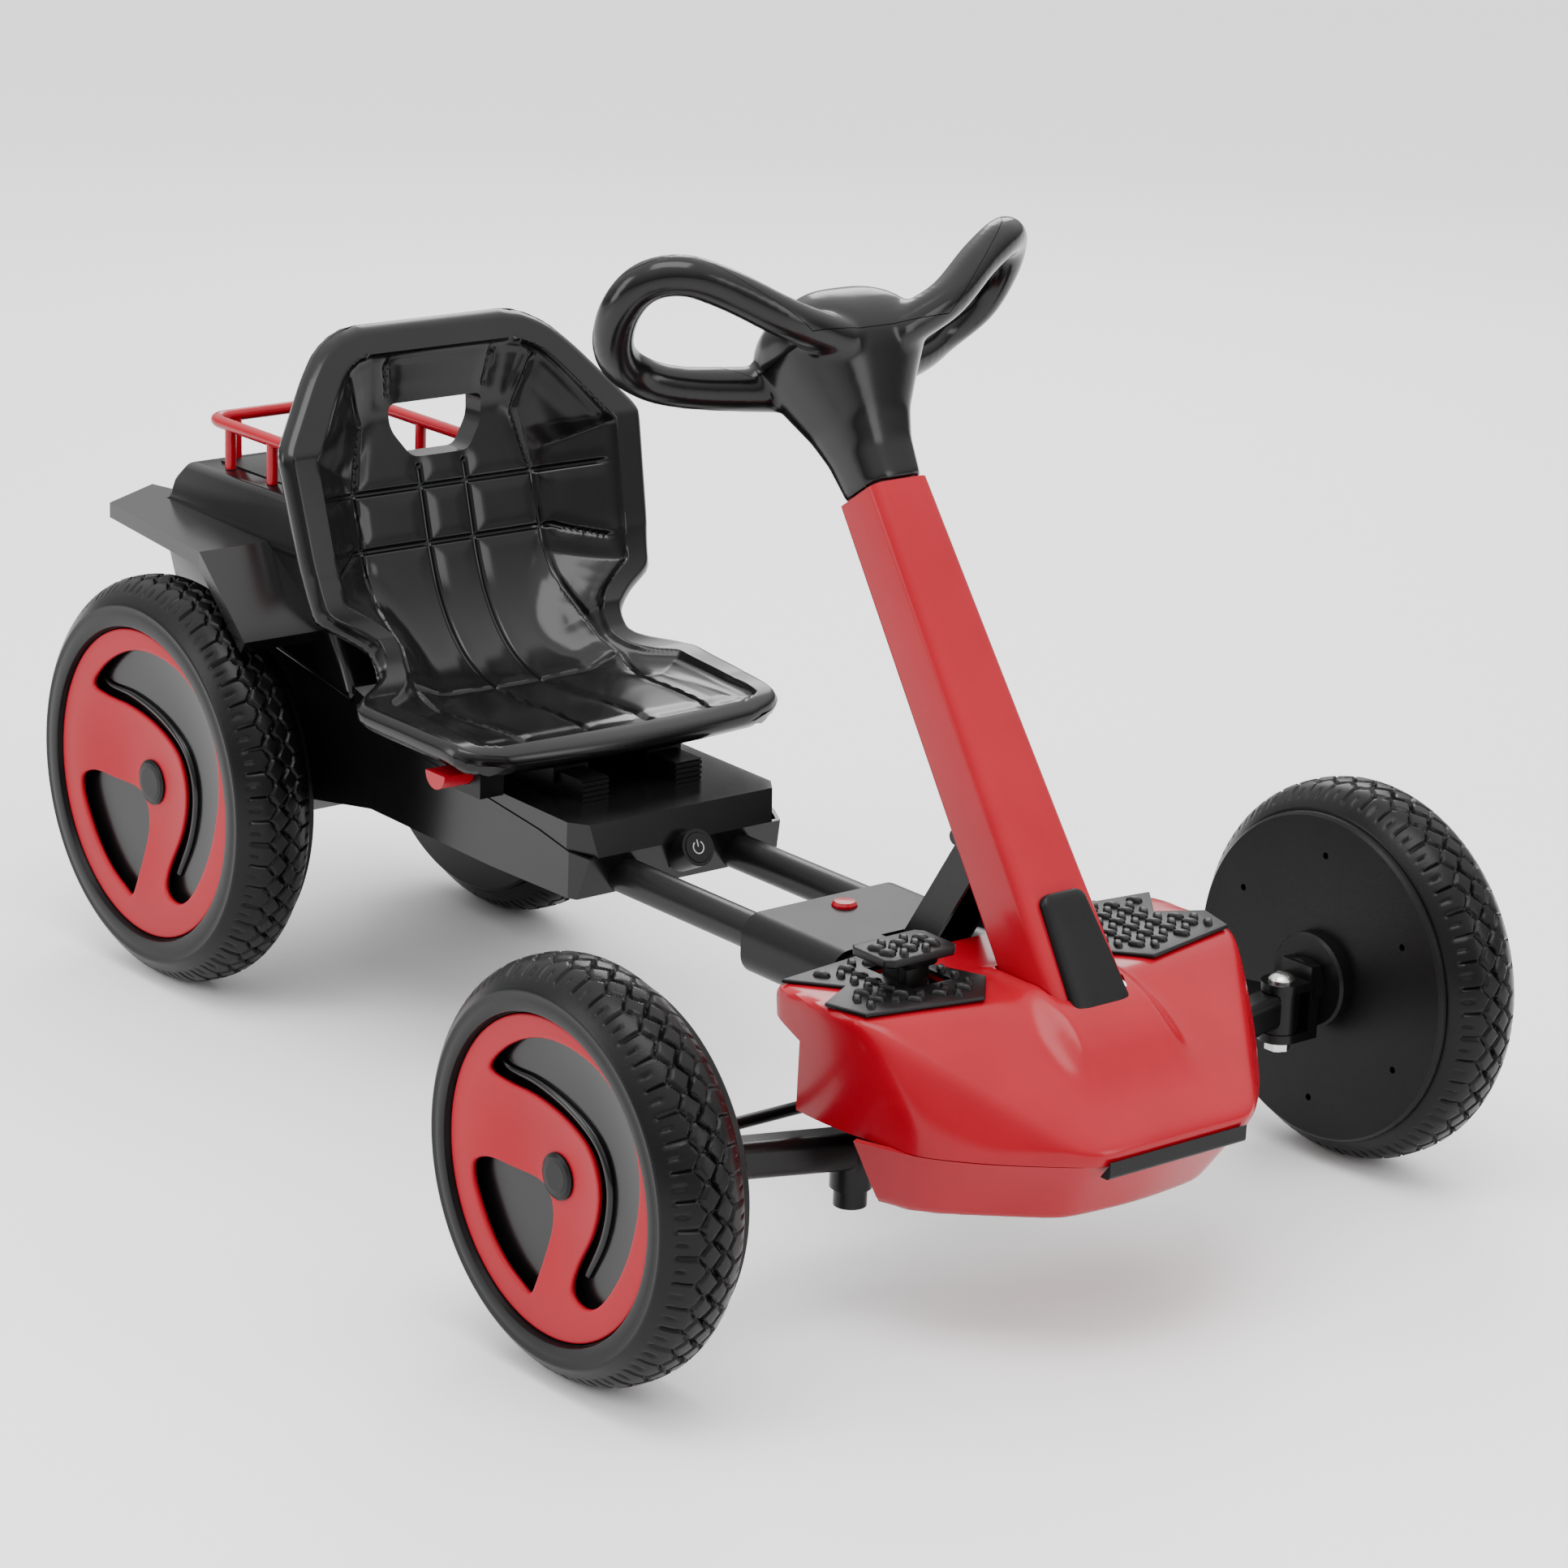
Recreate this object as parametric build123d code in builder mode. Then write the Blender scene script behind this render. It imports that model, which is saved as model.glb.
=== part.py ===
"""Battery ride-on go kart for a child.

Frame: +X forward, +Y to the driver's left, +Z up, millimetres.  The origin is on the floor,
midway between the nose tip and the back of the rear tyres, on the centre plane.
Distances along the kart are mostly given from the front axle, with fwd().
"""
from build123d import *
import os
from math import cos, pi, radians, sin

os.makedirs("parts", exist_ok=True)

# ---------------------------------------------------------------- driving dimensions
WHEELBASE = 793
FRONT_X = 386.5                      # front axle
REAR_X = FRONT_X - WHEELBASE         # rear axle
FRONT_R = 140                        # tyre radii
REAR_R = 161
FRONT_TRACK = 695                    # between wheel centre planes
REAR_TRACK = 318
TYRE_W = 66
AXLE_R = 6                           # wheel spindles and rear axle
RUN = 0.05                           # radial running clearance
GAP = 0.4                            # air between parts that move past each other

KINGPIN_Y = 272
KINGPIN_R = 5
ARM = 48                             # steering arm, kingpin to tie rod
PITMAN = 40                          # steering lever on the shaft
STEER_PIN_R = 4

TUBE_R = 13.5                        # the two main tubes
TUBE_Y = 52
TUBE_Z = 185

COLUMN_TILT = 34.9                   # steering axis from the vertical, degrees
COLUMN_FOOT = (53, 231)              # a point of the steering axis: ahead of the front axle, height
SHAFT_R = 8
COLUMN_TOP = 339                     # along the axis from the foot point

SEAM_Z = 136                         # joint between the nose cover and its skirt
PAD_Z = 220                          # footrest level
NOSE_TIP = 181                       # ahead of the front axle


def fwd(d):
    """Row X of a point d ahead of the front axle."""
    return FRONT_X + d


def finish(piece, name):
    """Label a finished piece and write its file."""
    piece.part.label = name
    export_step(piece.part, f"parts/{name}.step")


def mirrored(points):
    """A half outline (x, y) with y >= 0, closed by its mirror image in y."""
    return points + [(x, -y) for x, y in reversed(points)]


# ---------------------------------------------------------------- wheels
SEAT_U = 25                          # wheel cover's seat, outboard of the centre plane
FACE_U = 29                          # wheel cover's rim face
PLATE_U = 39.5                       # inner disc's inboard face
BOSS_U = 50                          # inner disc's boss face
WEB_U = 8                            # outboard face of the tyre moulding's web


def wheel(place, x, side, radius, track):
    """One wheel: tyre moulding, inner disc, dished cover and hub cap, turning about Y."""
    k = radius / FRONT_R
    half = TYRE_W / 2
    centre = (x, side * track / 2, radius)
    section = Plane(origin=centre, x_dir=(0, side, 0), z_dir=(side, 0, 0))
    face = Plane(origin=centre, x_dir=(-side, 0, 0), z_dir=(0, side, 0))
    spin = Axis(centre, (0, 1, 0))
    shoulder, ring, bore = 122 * k, 107 * k, 99 * k
    hub_r = 20

    with BuildPart() as tyre:
        with BuildSketch(section):
            with BuildLine():
                ThreePointArc((-half, shoulder), (0, radius), (half, shoulder))
                Polyline((half, shoulder), (half, ring), (SEAT_U, ring), (SEAT_U, bore), (WEB_U, bore),
                         (WEB_U, hub_r + 2), (WEB_U - 4, hub_r + 2), (WEB_U - 4, bore), (-half, bore),
                         (-half, shoulder))
            make_face()
        revolve(axis=spin)
        with BuildSketch(section):
            with Locations((5.5, radius)):
                Rectangle(2.4, 6)
        revolve(axis=spin, mode=Mode.SUBTRACT)
    finish(tyre, f"tyre_{place}")

    with BuildPart() as disc:
        with BuildSketch(section):
            with BuildLine():
                Polyline((-BOSS_U, AXLE_R + RUN), (-BOSS_U, 33), (-BOSS_U + 2, 35), (-PLATE_U, 35),
                         (-PLATE_U, 119 * k), (-PLATE_U + 2, 121 * k), (-half, 121 * k), (-half, hub_r),
                         (WEB_U, hub_r), (WEB_U, AXLE_R + RUN), (-BOSS_U, AXLE_R + RUN))
            make_face()
        revolve(axis=spin)
        with BuildSketch(face.offset(-PLATE_U)):
            with PolarLocations(92 * k, 6, start_angle=30):
                Circle(2.6)
        extrude(amount=PLATE_U - half, mode=Mode.SUBTRACT)
    finish(disc, f"wheel_disc_{place}")

    with BuildPart() as cover:
        with BuildSketch(section):
            with BuildLine():
                Polyline((SEAT_U, ring - 0.3), (FACE_U - 1, ring - 0.3), (FACE_U, ring - 1.3),
                         (FACE_U, 94 * k),
                         (20, 26), (20, 13.4 * k), (16, 13.4 * k), (16, 26), (SEAT_U, 94 * k),
                         (SEAT_U, ring - 0.3))
            make_face()
        revolve(axis=spin)
        with BuildSketch(face):
            with BuildLine():
                CenterArc((0, 0), 84 * k, -78, 205)
                CenterArc((0, 0), 48 * k, -70, 185)
                Line((84 * k * cos(radians(-78)), 84 * k * sin(radians(-78))),
                     (48 * k * cos(radians(-70)), 48 * k * sin(radians(-70))))
                Line((84 * k * cos(radians(127)), 84 * k * sin(radians(127))),
                     (48 * k * cos(radians(115)), 48 * k * sin(radians(115))))
            make_face()
            with BuildLine():
                Polyline((-72 * k, -22 * k), (-28 * k, -30 * k), (-28 * k, -78 * k), (-60 * k, -58 * k),
                         (-72 * k, -22 * k))
            make_face()
        extrude(amount=FACE_U + 10, mode=Mode.SUBTRACT)
    finish(cover, f"wheel_cover_{place}")

    cap_r = 15.5 * k
    with BuildPart() as cap:
        with BuildSketch(section):
            with BuildLine():
                Polyline((14.5, 11), (14.5, 13.3 * k), (20, 13.3 * k), (20, cap_r), (21.6, cap_r),
                         (22.8, cap_r - 2.5), (23.3, cap_r - 6), (23.3, 0), (20, 0), (20, 11), (14.5, 11))
            make_face()
        revolve(axis=spin)
    finish(cap, f"hub_cap_{place}")


for end, x, radius, track in (("front", FRONT_X, FRONT_R, FRONT_TRACK), ("rear", REAR_X, REAR_R, REAR_TRACK)):
    for name, side in (("left", 1), ("right", -1)):
        wheel(f"{end}_{name}", x, side, radius, track)

NUT_U = (8.3, 18)                    # washer and nut, outboard of a wheel's centre plane


def axle_nut(side, centre):
    """Washer and hexagon nut on an axle end, inside the hub cap."""
    face = Plane(origin=centre, x_dir=(-side, 0, 0), z_dir=(0, side, 0))
    with BuildPart() as nut:
        with BuildSketch(face.offset(NUT_U[0])):
            Circle(10)
        extrude(amount=1.5)
        with BuildSketch(face.offset(NUT_U[0] + 1.5)):
            RegularPolygon(9.8, 6)
        extrude(amount=NUT_U[1] - NUT_U[0] - 1.5)
    return nut.part


# ---------------------------------------------------------------- rear axle and drive
with BuildPart() as rear_axle:
    with Locations(Location((REAR_X, 0, REAR_R), (90, 0, 0))):
        Cylinder(AXLE_R, REAR_TRACK + 2 * NUT_U[1])
    for side in (1, -1):
        add(axle_nut(side, (REAR_X, side * REAR_TRACK / 2, REAR_R)))
finish(rear_axle, "rear_axle")

MODULE = 1.25
GEAR_TEETH = 40
PINION_TEETH = 12
GEAR_Y = (84, 94)                    # the gears' faces, from the centre plane
CASE_Y = (76, 98)                    # gearbox case
MOTOR_R = 17
CENTRES = MODULE * (GEAR_TEETH + PINION_TEETH) / 2
BACKLASH = 0.5


def gear_outline(teeth, phase):
    """Corner points of a straight-flanked spur gear with a little backlash."""
    pitch_r = MODULE * teeth / 2
    outer, root = pitch_r + 0.85 * MODULE, pitch_r - 1.2 * MODULE
    step = 2 * pi / teeth
    thick = (MODULE * pi / 2 - BACKLASH) / pitch_r
    points = []
    for i in range(teeth):
        mid = phase + i * step
        for r, share in ((root, -0.78), (outer, -0.26), (outer, 0.26), (root, 0.78)):
            points.append((r * cos(mid + share * thick), r * sin(mid + share * thick)))
    return points


for name, side in (("left", 1), ("right", -1)):
    hub = (REAR_X, 0, REAR_R)
    drive = Plane(origin=hub, x_dir=(1, 0, 0), z_dir=(0, -1, 0))
    low_y = min(side * GEAR_Y[0], side * GEAR_Y[1])
    with BuildPart() as gear:
        with BuildSketch(drive.offset(-low_y)):
            Polygon(*gear_outline(GEAR_TEETH, 0), align=None)
            Circle(AXLE_R + RUN, mode=Mode.SUBTRACT)
        extrude(amount=-(GEAR_Y[1] - GEAR_Y[0]))
        boss_y = REAR_TRACK / 2 - BOSS_U
        with BuildSketch(drive.offset(-side * GEAR_Y[1])):
            Circle(14)
            Circle(AXLE_R + RUN, mode=Mode.SUBTRACT)
        extrude(amount=-side * (boss_y - GEAR_Y[1]))
    finish(gear, f"drive_gear_{name}")

    with BuildPart() as pinion:
        with BuildSketch(drive.offset(-low_y)):
            with Locations((CENTRES, 0)):
                Polygon(*gear_outline(PINION_TEETH, pi + pi / PINION_TEETH), align=None)
        extrude(amount=-(GEAR_Y[1] - GEAR_Y[0]))
        with BuildSketch(drive.offset(-side * (CASE_Y[0] - 8))):
            with Locations((CENTRES, 0)):
                Circle(2.5)
        extrude(amount=-side * (GEAR_Y[0] - CASE_Y[0] + 8))
    finish(pinion, f"motor_pinion_{name}")

with BuildPart() as gearbox_cases:
    for side in (1, -1):
        drive = Plane(origin=(REAR_X, 0, REAR_R), x_dir=(1, 0, 0), z_dir=(0, side, 0))
        for mode, skin, y0, y1 in ((Mode.ADD, 0, CASE_Y[0], CASE_Y[1]),
                                   (Mode.SUBTRACT, 2.5, CASE_Y[0] + 2.5, CASE_Y[1] - 2.5)):
            with BuildSketch(drive.offset(y0)):
                Circle(30 - skin)
                with Locations((CENTRES, 0)):
                    Circle(20 - skin)
                with Locations((CENTRES / 2, 0)):
                    Rectangle(CENTRES, 2 * (20 - skin))
            extrude(amount=y1 - y0, mode=mode)
        with BuildSketch(drive.offset(CASE_Y[0])):
            Circle(AXLE_R + 0.3)
            with Locations((CENTRES, 0)):
                Circle(3.2)
        extrude(amount=2.5, mode=Mode.SUBTRACT)
        with BuildSketch(drive.offset(CASE_Y[1] - 2.5)):
            Circle(14.6)
        extrude(amount=2.5, mode=Mode.SUBTRACT)
finish(gearbox_cases, "gearbox_cases")

with BuildPart() as motors:
    for side in (1, -1):
        can = Plane(origin=(REAR_X + CENTRES, 0, REAR_R), x_dir=(1, 0, 0), z_dir=(0, side, 0))
        with BuildSketch(can.offset(CASE_Y[0] - 58)):
            Circle(MOTOR_R)
        extrude(amount=58)
        with BuildSketch(can.offset(CASE_Y[0] - 8.5)):
            Circle(3)
        extrude(amount=8.5, mode=Mode.SUBTRACT)
finish(motors, "motors")

# ---------------------------------------------------------------- front frame and steering gear
BEAM_Z = 104.5                       # front beam's centre line in the middle
BEAM_END_Z = 126                     # and at its ends
BEAM_FLAT = 120                      # half length of its level middle
BEAM_H = 27
BEAM_W = 26
BOSS_Z = (108, 138)                  # kingpin bosses
TIE_X = fwd(-ARM)
TIE_Z = 120
SLEEVE_R = 17
SLEEVE = (fwd(-186), fwd(14))        # the sleeves that the main tubes slide in

axis_dir = (-sin(radians(COLUMN_TILT)), 0, cos(radians(COLUMN_TILT)))
foot = (fwd(COLUMN_FOOT[0]), 0, COLUMN_FOOT[1])
# across the steering axis: local x points left, local y points back and down
steer_plane = Plane(origin=foot, x_dir=(0, 1, 0), z_dir=axis_dir)
LOWER_BUSH = -68                     # along the steering axis from the foot point
UPPER_BUSH = COLUMN_TOP - 18
LEVER = -90
BUSH_H = 12
PEDAL_PIVOT = (fwd(-36), 185)


def half_beam(side):
    """Outline of the front beam seen from ahead (y, z)."""
    end_y = KINGPIN_Y - 12
    return [(0, BEAM_Z - BEAM_H / 2), (side * BEAM_FLAT, BEAM_Z - BEAM_H / 2),
            (side * end_y, BEAM_END_Z - BEAM_H / 2), (side * end_y, BEAM_END_Z + BEAM_H / 2 - 1.5),
            (side * BEAM_FLAT, BEAM_Z + BEAM_H / 2), (0, BEAM_Z + BEAM_H / 2)]


with BuildPart() as front_frame:
    with BuildSketch(Plane(origin=(FRONT_X - BEAM_W / 2, 0, 0), x_dir=(0, 1, 0), z_dir=(1, 0, 0))):
        for side in (1, -1):
            with BuildLine():
                Polyline(*half_beam(side), close=True)
            make_face()
    extrude(amount=BEAM_W)
    fillet(front_frame.edges().filter_by(Axis.X, reverse=True).filter_by(
        lambda e: abs(e.tangent_at(0.5).Y) > 0.9), 7)
    # kingpin bosses
    for side in (1, -1):
        with BuildSketch(Plane.XY.offset(BOSS_Z[0])):
            with Locations((FRONT_X, side * KINGPIN_Y)):
                Circle(14)
        extrude(amount=BOSS_Z[1] - BOSS_Z[0])
    # plugs pressed into the beam from below
    for side in (1, -1):
        for low, high, r in ((65, 78, 11.5), (78, BEAM_Z, 14.5)):
            with BuildSketch(Plane.XY.offset(low)):
                with Locations((FRONT_X, side * 125)):
                    Circle(r)
            extrude(amount=high - low)
    # risers up to the sleeves
    with BuildSketch(Plane.XY.offset(BEAM_Z)):
        with Locations((FRONT_X, TUBE_Y), (FRONT_X, -TUBE_Y)):
            Rectangle(24, 11)
    extrude(amount=170 - BEAM_Z)
    # floor plate and cheeks that carry the column
    with BuildSketch(Plane.XY.offset(94)):
        with Locations((fwd(68), 0)):
            Rectangle(116, 84)
    extrude(amount=5)
    for side in (1, -1):
        with BuildSketch(Plane(origin=(0, side * 35, 0), x_dir=(1, 0, 0), z_dir=(0, -1, 0))):
            Polygon((fwd(80), 96), (fwd(122), 96), (fwd(122), 158), (fwd(101), 178), (fwd(77), 169.5),
                    (fwd(80), 160), align=None)
        extrude(amount=2, both=True)
    with BuildSketch(steer_plane.offset(LOWER_BUSH - BUSH_H / 2)):
        Rectangle(72, 28)
    extrude(amount=BUSH_H)
    # sleeves
    for side in (1, -1):
        with BuildSketch(Plane(origin=(SLEEVE[0], side * TUBE_Y, TUBE_Z), x_dir=(0, 1, 0), z_dir=(1, 0, 0))):
            Circle(SLEEVE_R)
        extrude(amount=SLEEVE[1] - SLEEVE[0])
    for side in (1, -1):
        with BuildSketch(Plane(origin=(SLEEVE[0], side * TUBE_Y, TUBE_Z), x_dir=(0, 1, 0), z_dir=(1, 0, 0))):
            Circle(TUBE_R + RUN)
        extrude(amount=SLEEVE[1] - SLEEVE[0], mode=Mode.SUBTRACT)
        with BuildSketch(Plane.XY.offset(BOSS_Z[0])):
            with Locations((FRONT_X, side * KINGPIN_Y)):
                Circle(KINGPIN_R + RUN)
        extrude(amount=BOSS_Z[1] - BOSS_Z[0], mode=Mode.SUBTRACT)
    # cross plate that carries the brace, between the sleeves
    with BuildSketch(Plane.XY.offset(TUBE_Z - 3)):
        with Locations((fwd(-70), 0)):
            Rectangle(36, 2 * (TUBE_Y - SLEEVE_R) + 4)
        with Locations((fwd(-93), 0)):
            Rectangle(14, 36)
    extrude(amount=6)
    # pivot pin of the accelerator pedal, standing out from the right sleeve
    with BuildSketch(Plane(origin=(PEDAL_PIVOT[0], -TUBE_Y - SLEEVE_R + 2, PEDAL_PIVOT[1]),
                           x_dir=(1, 0, 0), z_dir=(0, -1, 0))):
        Circle(4)
    extrude(amount=45)
    with BuildSketch(steer_plane.offset(LOWER_BUSH - BUSH_H / 2)):
        Circle(SHAFT_R + 4)
    extrude(amount=BUSH_H, mode=Mode.SUBTRACT)
finish(front_frame, "front_frame")

EAR_TOP = (BOSS_Z[1] + GAP, 145)
EAR_LOW = (101, BOSS_Z[0] - GAP)
BLOCK_Y = (KINGPIN_Y + 14 + 0.5, KINGPIN_Y + 24)
ARM_Z = (126, 131)

for name, side in (("left", 1), ("right", -1)):
    pin = (FRONT_X, side * KINGPIN_Y)
    with BuildPart() as knuckle:
        for low, high in (EAR_TOP, EAR_LOW):
            with BuildSketch(Plane.XY.offset(low)):
                with Locations(pin):
                    Circle(15)
                with Locations((FRONT_X, side * (KINGPIN_Y + BLOCK_Y[1]) / 2)):
                    Rectangle(30, BLOCK_Y[1] - KINGPIN_Y)
            extrude(amount=high - low)
        with BuildSketch(Plane.XY.offset(EAR_LOW[0])):
            with Locations((FRONT_X, side * (BLOCK_Y[0] + BLOCK_Y[1]) / 2)):
                Rectangle(30, BLOCK_Y[1] - BLOCK_Y[0])
        extrude(amount=156 - EAR_LOW[0])
        # spindle with its round shoulder
        outward = Plane(origin=(FRONT_X, 0, FRONT_R), x_dir=(-side, 0, 0), z_dir=(0, side, 0))
        with BuildSketch(outward.offset(BLOCK_Y[0] + 2)):
            Circle(18)
        extrude(amount=FRONT_TRACK / 2 - BOSS_U - GAP - BLOCK_Y[0] - 2)
        with BuildSketch(outward.offset(BLOCK_Y[0] + 2)):
            Circle(AXLE_R)
        extrude(amount=FRONT_TRACK / 2 + NUT_U[1] + 1 - BLOCK_Y[0] - 2)
        add(axle_nut(side, (FRONT_X, side * FRONT_TRACK / 2, FRONT_R)))
        # steering arm and its pin
        with BuildSketch(Plane.XY.offset(ARM_Z[0])):
            Polygon((FRONT_X - 9, side * (BLOCK_Y[0] + 0.5)), (FRONT_X - 9, side * BLOCK_Y[1]),
                    (TIE_X + 4, side * (KINGPIN_Y + 9)), (TIE_X, side * (KINGPIN_Y - 9)),
                    (FRONT_X - 24, side * (KINGPIN_Y + 2)), align=None)
            with Locations((TIE_X, side * KINGPIN_Y)):
                Circle(9)
        extrude(amount=ARM_Z[1] - ARM_Z[0])
        with BuildSketch(Plane.XY.offset(TIE_Z - 7)):
            with Locations((TIE_X, side * KINGPIN_Y)):
                Circle(STEER_PIN_R)
        extrude(amount=ARM_Z[0] - TIE_Z + 7)
        with BuildSketch(Plane.XY.offset(EAR_LOW[0])):
            with Locations(pin):
                Circle(KINGPIN_R)
        extrude(amount=EAR_TOP[1] - EAR_LOW[0], mode=Mode.SUBTRACT)
    finish(knuckle, f"knuckle_{name}")

    with BuildPart() as kingpin:
        with BuildSketch(Plane.XY.offset(EAR_LOW[0] - 9)):
            with Locations(pin):
                Circle(KINGPIN_R)
        extrude(amount=EAR_TOP[1] - EAR_LOW[0] + 9)
        # slotted dome head and hexagon nut
        with BuildSketch(Plane(origin=(FRONT_X, side * KINGPIN_Y, EAR_TOP[1]), x_dir=(1, 0, 0),
                               z_dir=(0, -1, 0))):
            with BuildLine():
                Polyline((0, 6), (0, 0), (9.5, 0), (9.5, 1.5))
                ThreePointArc((9.5, 1.5), (6, 4.8), (0, 6))
            make_face()
        revolve(axis=Axis((FRONT_X, side * KINGPIN_Y, 0), (0, 0, 1)))
        with BuildSketch(Plane.XY.offset(EAR_TOP[1] + 4)):
            with Locations(pin):
                Rectangle(22, 2)
        extrude(amount=4, mode=Mode.SUBTRACT)
        with BuildSketch(Plane.XY.offset(EAR_LOW[0] - 7.5)):
            with Locations(pin):
                RegularPolygon(9.5, 6)
        extrude(amount=7.5)
    finish(kingpin, f"kingpin_{name}")

PIN_SLOT = 1.2                       # spare width of the slots that the steering pins run in
PLATE_Z = (120.5, 124.5)
with BuildPart() as tie_rod:
    with Locations(Location((TIE_X, 0, TIE_Z), (90, 0, 0))):
        Cylinder(4.5, 2 * (KINGPIN_Y - 12))
    with BuildSketch(Plane.XY.offset(TIE_Z - 2.5)):
        for side in (1, -1):
            with Locations((TIE_X + 2, side * (KINGPIN_Y - 1))):
                RectangleRounded(26, 22, 6)
    extrude(amount=5)
    with BuildSketch(Plane.XY.offset(TIE_Z - 2.5)):
        for side in (1, -1):
            with Locations((TIE_X + 2.1, side * KINGPIN_Y)):
                RectangleRounded(14.4, 2 * STEER_PIN_R + PIN_SLOT, 4.5)
    extrude(amount=5, mode=Mode.SUBTRACT)
    # plate reaching forward over the beam to the steering lever
    with BuildSketch(Plane.XY.offset(PLATE_Z[0])):
        with Locations(((TIE_X + fwd(101)) / 2, 0)):
            Rectangle(fwd(101) - TIE_X, 21)
    extrude(amount=PLATE_Z[1] - PLATE_Z[0])
    with BuildSketch(Plane.XY.offset(PLATE_Z[0])):
        with Locations((fwd(83.2), 0)):
            RectangleRounded(25, 2 * STEER_PIN_R + PIN_SLOT, 4.5)
    extrude(amount=PLATE_Z[1] - PLATE_Z[0], mode=Mode.SUBTRACT)
finish(tie_rod, "tie_rod")

SHAFT_TOP = COLUMN_TOP + 75
with BuildPart() as steering_shaft:
    with BuildSketch(steer_plane.offset(LEVER - 5)):
        Circle(SHAFT_R)
    extrude(amount=SHAFT_TOP - LEVER + 5)
    with BuildSketch(steer_plane.offset(LEVER - 5)):
        Circle(12)
        with Locations((0, PITMAN / 2)):
            Rectangle(15, PITMAN)
        with Locations((0, PITMAN)):
            Circle(7.5)
    extrude(amount=6)
    with BuildSketch(steer_plane.offset(LEVER - 5)):
        with Locations((0, PITMAN)):
            Circle(STEER_PIN_R)
    extrude(amount=-22)
finish(steering_shaft, "steering_shaft")

# ---------------------------------------------------------------- steering column
COLUMN_LOW = -62                     # along the steering axis, on top of the bearing block
COLUMN_WALL = 4


def column_section(along, inset):
    """Section of the column across the steering axis, chamfered towards the front."""
    part_way = (along - COLUMN_LOW) / (COLUMN_TOP - COLUMN_LOW)
    w = 33 - 8 * part_way - inset
    h = 25 - 3 * part_way - inset
    with BuildSketch(steer_plane.offset(along)) as section:
        Polygon((-w, h - 4), (4 - w, h), (w - 4, h), (w, h - 4), (w, 5 - h), (w - 5, -h), (5 - w, -h),
                (-w, 5 - h), align=None)
    return section.sketch


def column_solid(low, high, inset):
    with BuildPart() as solid:
        loft(sections=[column_section(low, inset), column_section(high, inset)], ruled=True)
    return solid.part


def steer_box(width, back, low, high):
    """Block across the steering axis: width across, back = (front, rear), low to high along the axis."""
    with BuildPart() as block:
        with BuildSketch(steer_plane.offset(low)) as face:
            with Locations((0, (back[0] + back[1]) / 2)):
                Rectangle(width, back[1] - back[0])
        extrude(face.sketch, amount=high - low)
    return block.part


with BuildPart() as column_shell:
    add(column_solid(COLUMN_LOW, COLUMN_TOP - 0.5, 0))
    add(column_solid(COLUMN_LOW - 1, COLUMN_TOP, COLUMN_WALL), mode=Mode.SUBTRACT)
finish(column_shell, "column_shell")

with BuildPart() as column_insert:
    with BuildSketch(Plane(origin=foot, x_dir=(0, 1, 0), z_dir=steer_plane.y_dir).offset(-31)) as face:
        # local y runs down the axis here
        Polygon((-24.5, 50), (24.5, 50), (19, -37), (-19, -37), align=None)
        fillet(face.vertices(), 8)
    extrude(amount=11)
    fillet(column_insert.faces().sort_by(lambda f: f.center().dot(steer_plane.y_dir))[0].edges(), 2.5)
    add(column_solid(COLUMN_LOW, COLUMN_TOP, 0), mode=Mode.SUBTRACT)
finish(column_insert, "column_insert")

with BuildPart() as steering_bushes:
    with BuildSketch(steer_plane.offset(LOWER_BUSH - BUSH_H / 2)):
        Circle(SHAFT_R + 4)
    extrude(amount=BUSH_H)
    add(column_solid(UPPER_BUSH, COLUMN_TOP - 0.5, COLUMN_WALL))
    with BuildSketch(steer_plane.offset(LOWER_BUSH - BUSH_H)):
        Circle(SHAFT_R + RUN)
    extrude(amount=COLUMN_TOP - LOWER_BUSH + BUSH_H, mode=Mode.SUBTRACT)
finish(steering_bushes, "steering_bushes")

# steering head: a shell with two grip loops, parted along a line that climbs over the loops
HEAD_SECTIONS = ((0.3, 25, -22, 22), (42, 27, -26, 27), (86, 49, -44, 38), (110, 51, -46, 42),
                 (125, 43, -44, 28), (135, 26, -38, 8))
LOOP = ((440, -42, 36), (452, -49, 70), (477, -50, 110), (492, -47, 140), (496, -30, 160), (487, -5, 168),
        (472, 22, 161), (460, 41, 136), (446, 41, 102), (430, 28, 30))
LOOP_R = 14
PART_D = 438


def head_body(inset):
    """Body of the steering head; inset leaves its wall."""
    with BuildPart() as body:
        faces = []
        for up, half, front, rear in HEAD_SECTIONS[:len(HEAD_SECTIONS) - (1 if inset else 0)]:
            with BuildSketch(steer_plane.offset(COLUMN_TOP + up)) as section:
                with Locations((0, (front + rear) / 2)):
                    RectangleRounded(2 * (half - inset), rear - front - 2 * inset, 9)
            faces.append(section.sketch)
        loft(sections=faces, ruled=True)
    return body.part


def grip_loops(radius):
    with BuildPart() as loops:
        for side in (1, -1):
            points = [steer_plane.from_local_coords(Vector(side * y, e, d)) for d, e, y in LOOP]
            with BuildLine() as path:
                Spline(*points)
            with BuildSketch(Plane(origin=path.line @ 0, z_dir=path.line % 0)) as ring:
                Circle(radius)
            sweep(ring.sketch, path=path.line)
    return loops.part


def above_part_line():
    """Everything above the parting line of the head."""
    with BuildPart() as upper:
        with BuildSketch(Plane(origin=foot, x_dir=(0, 1, 0), z_dir=steer_plane.y_dir)) as face:
            # local y runs down the axis here
            Polygon((-50, -PART_D), (50, -PART_D), (140, -PART_D - 68), (140, -PART_D - 150),
                    (-140, -PART_D - 150), (-140, -PART_D - 68), align=None)
        extrude(face.sketch, amount=90, both=True)
    return upper.part


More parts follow.
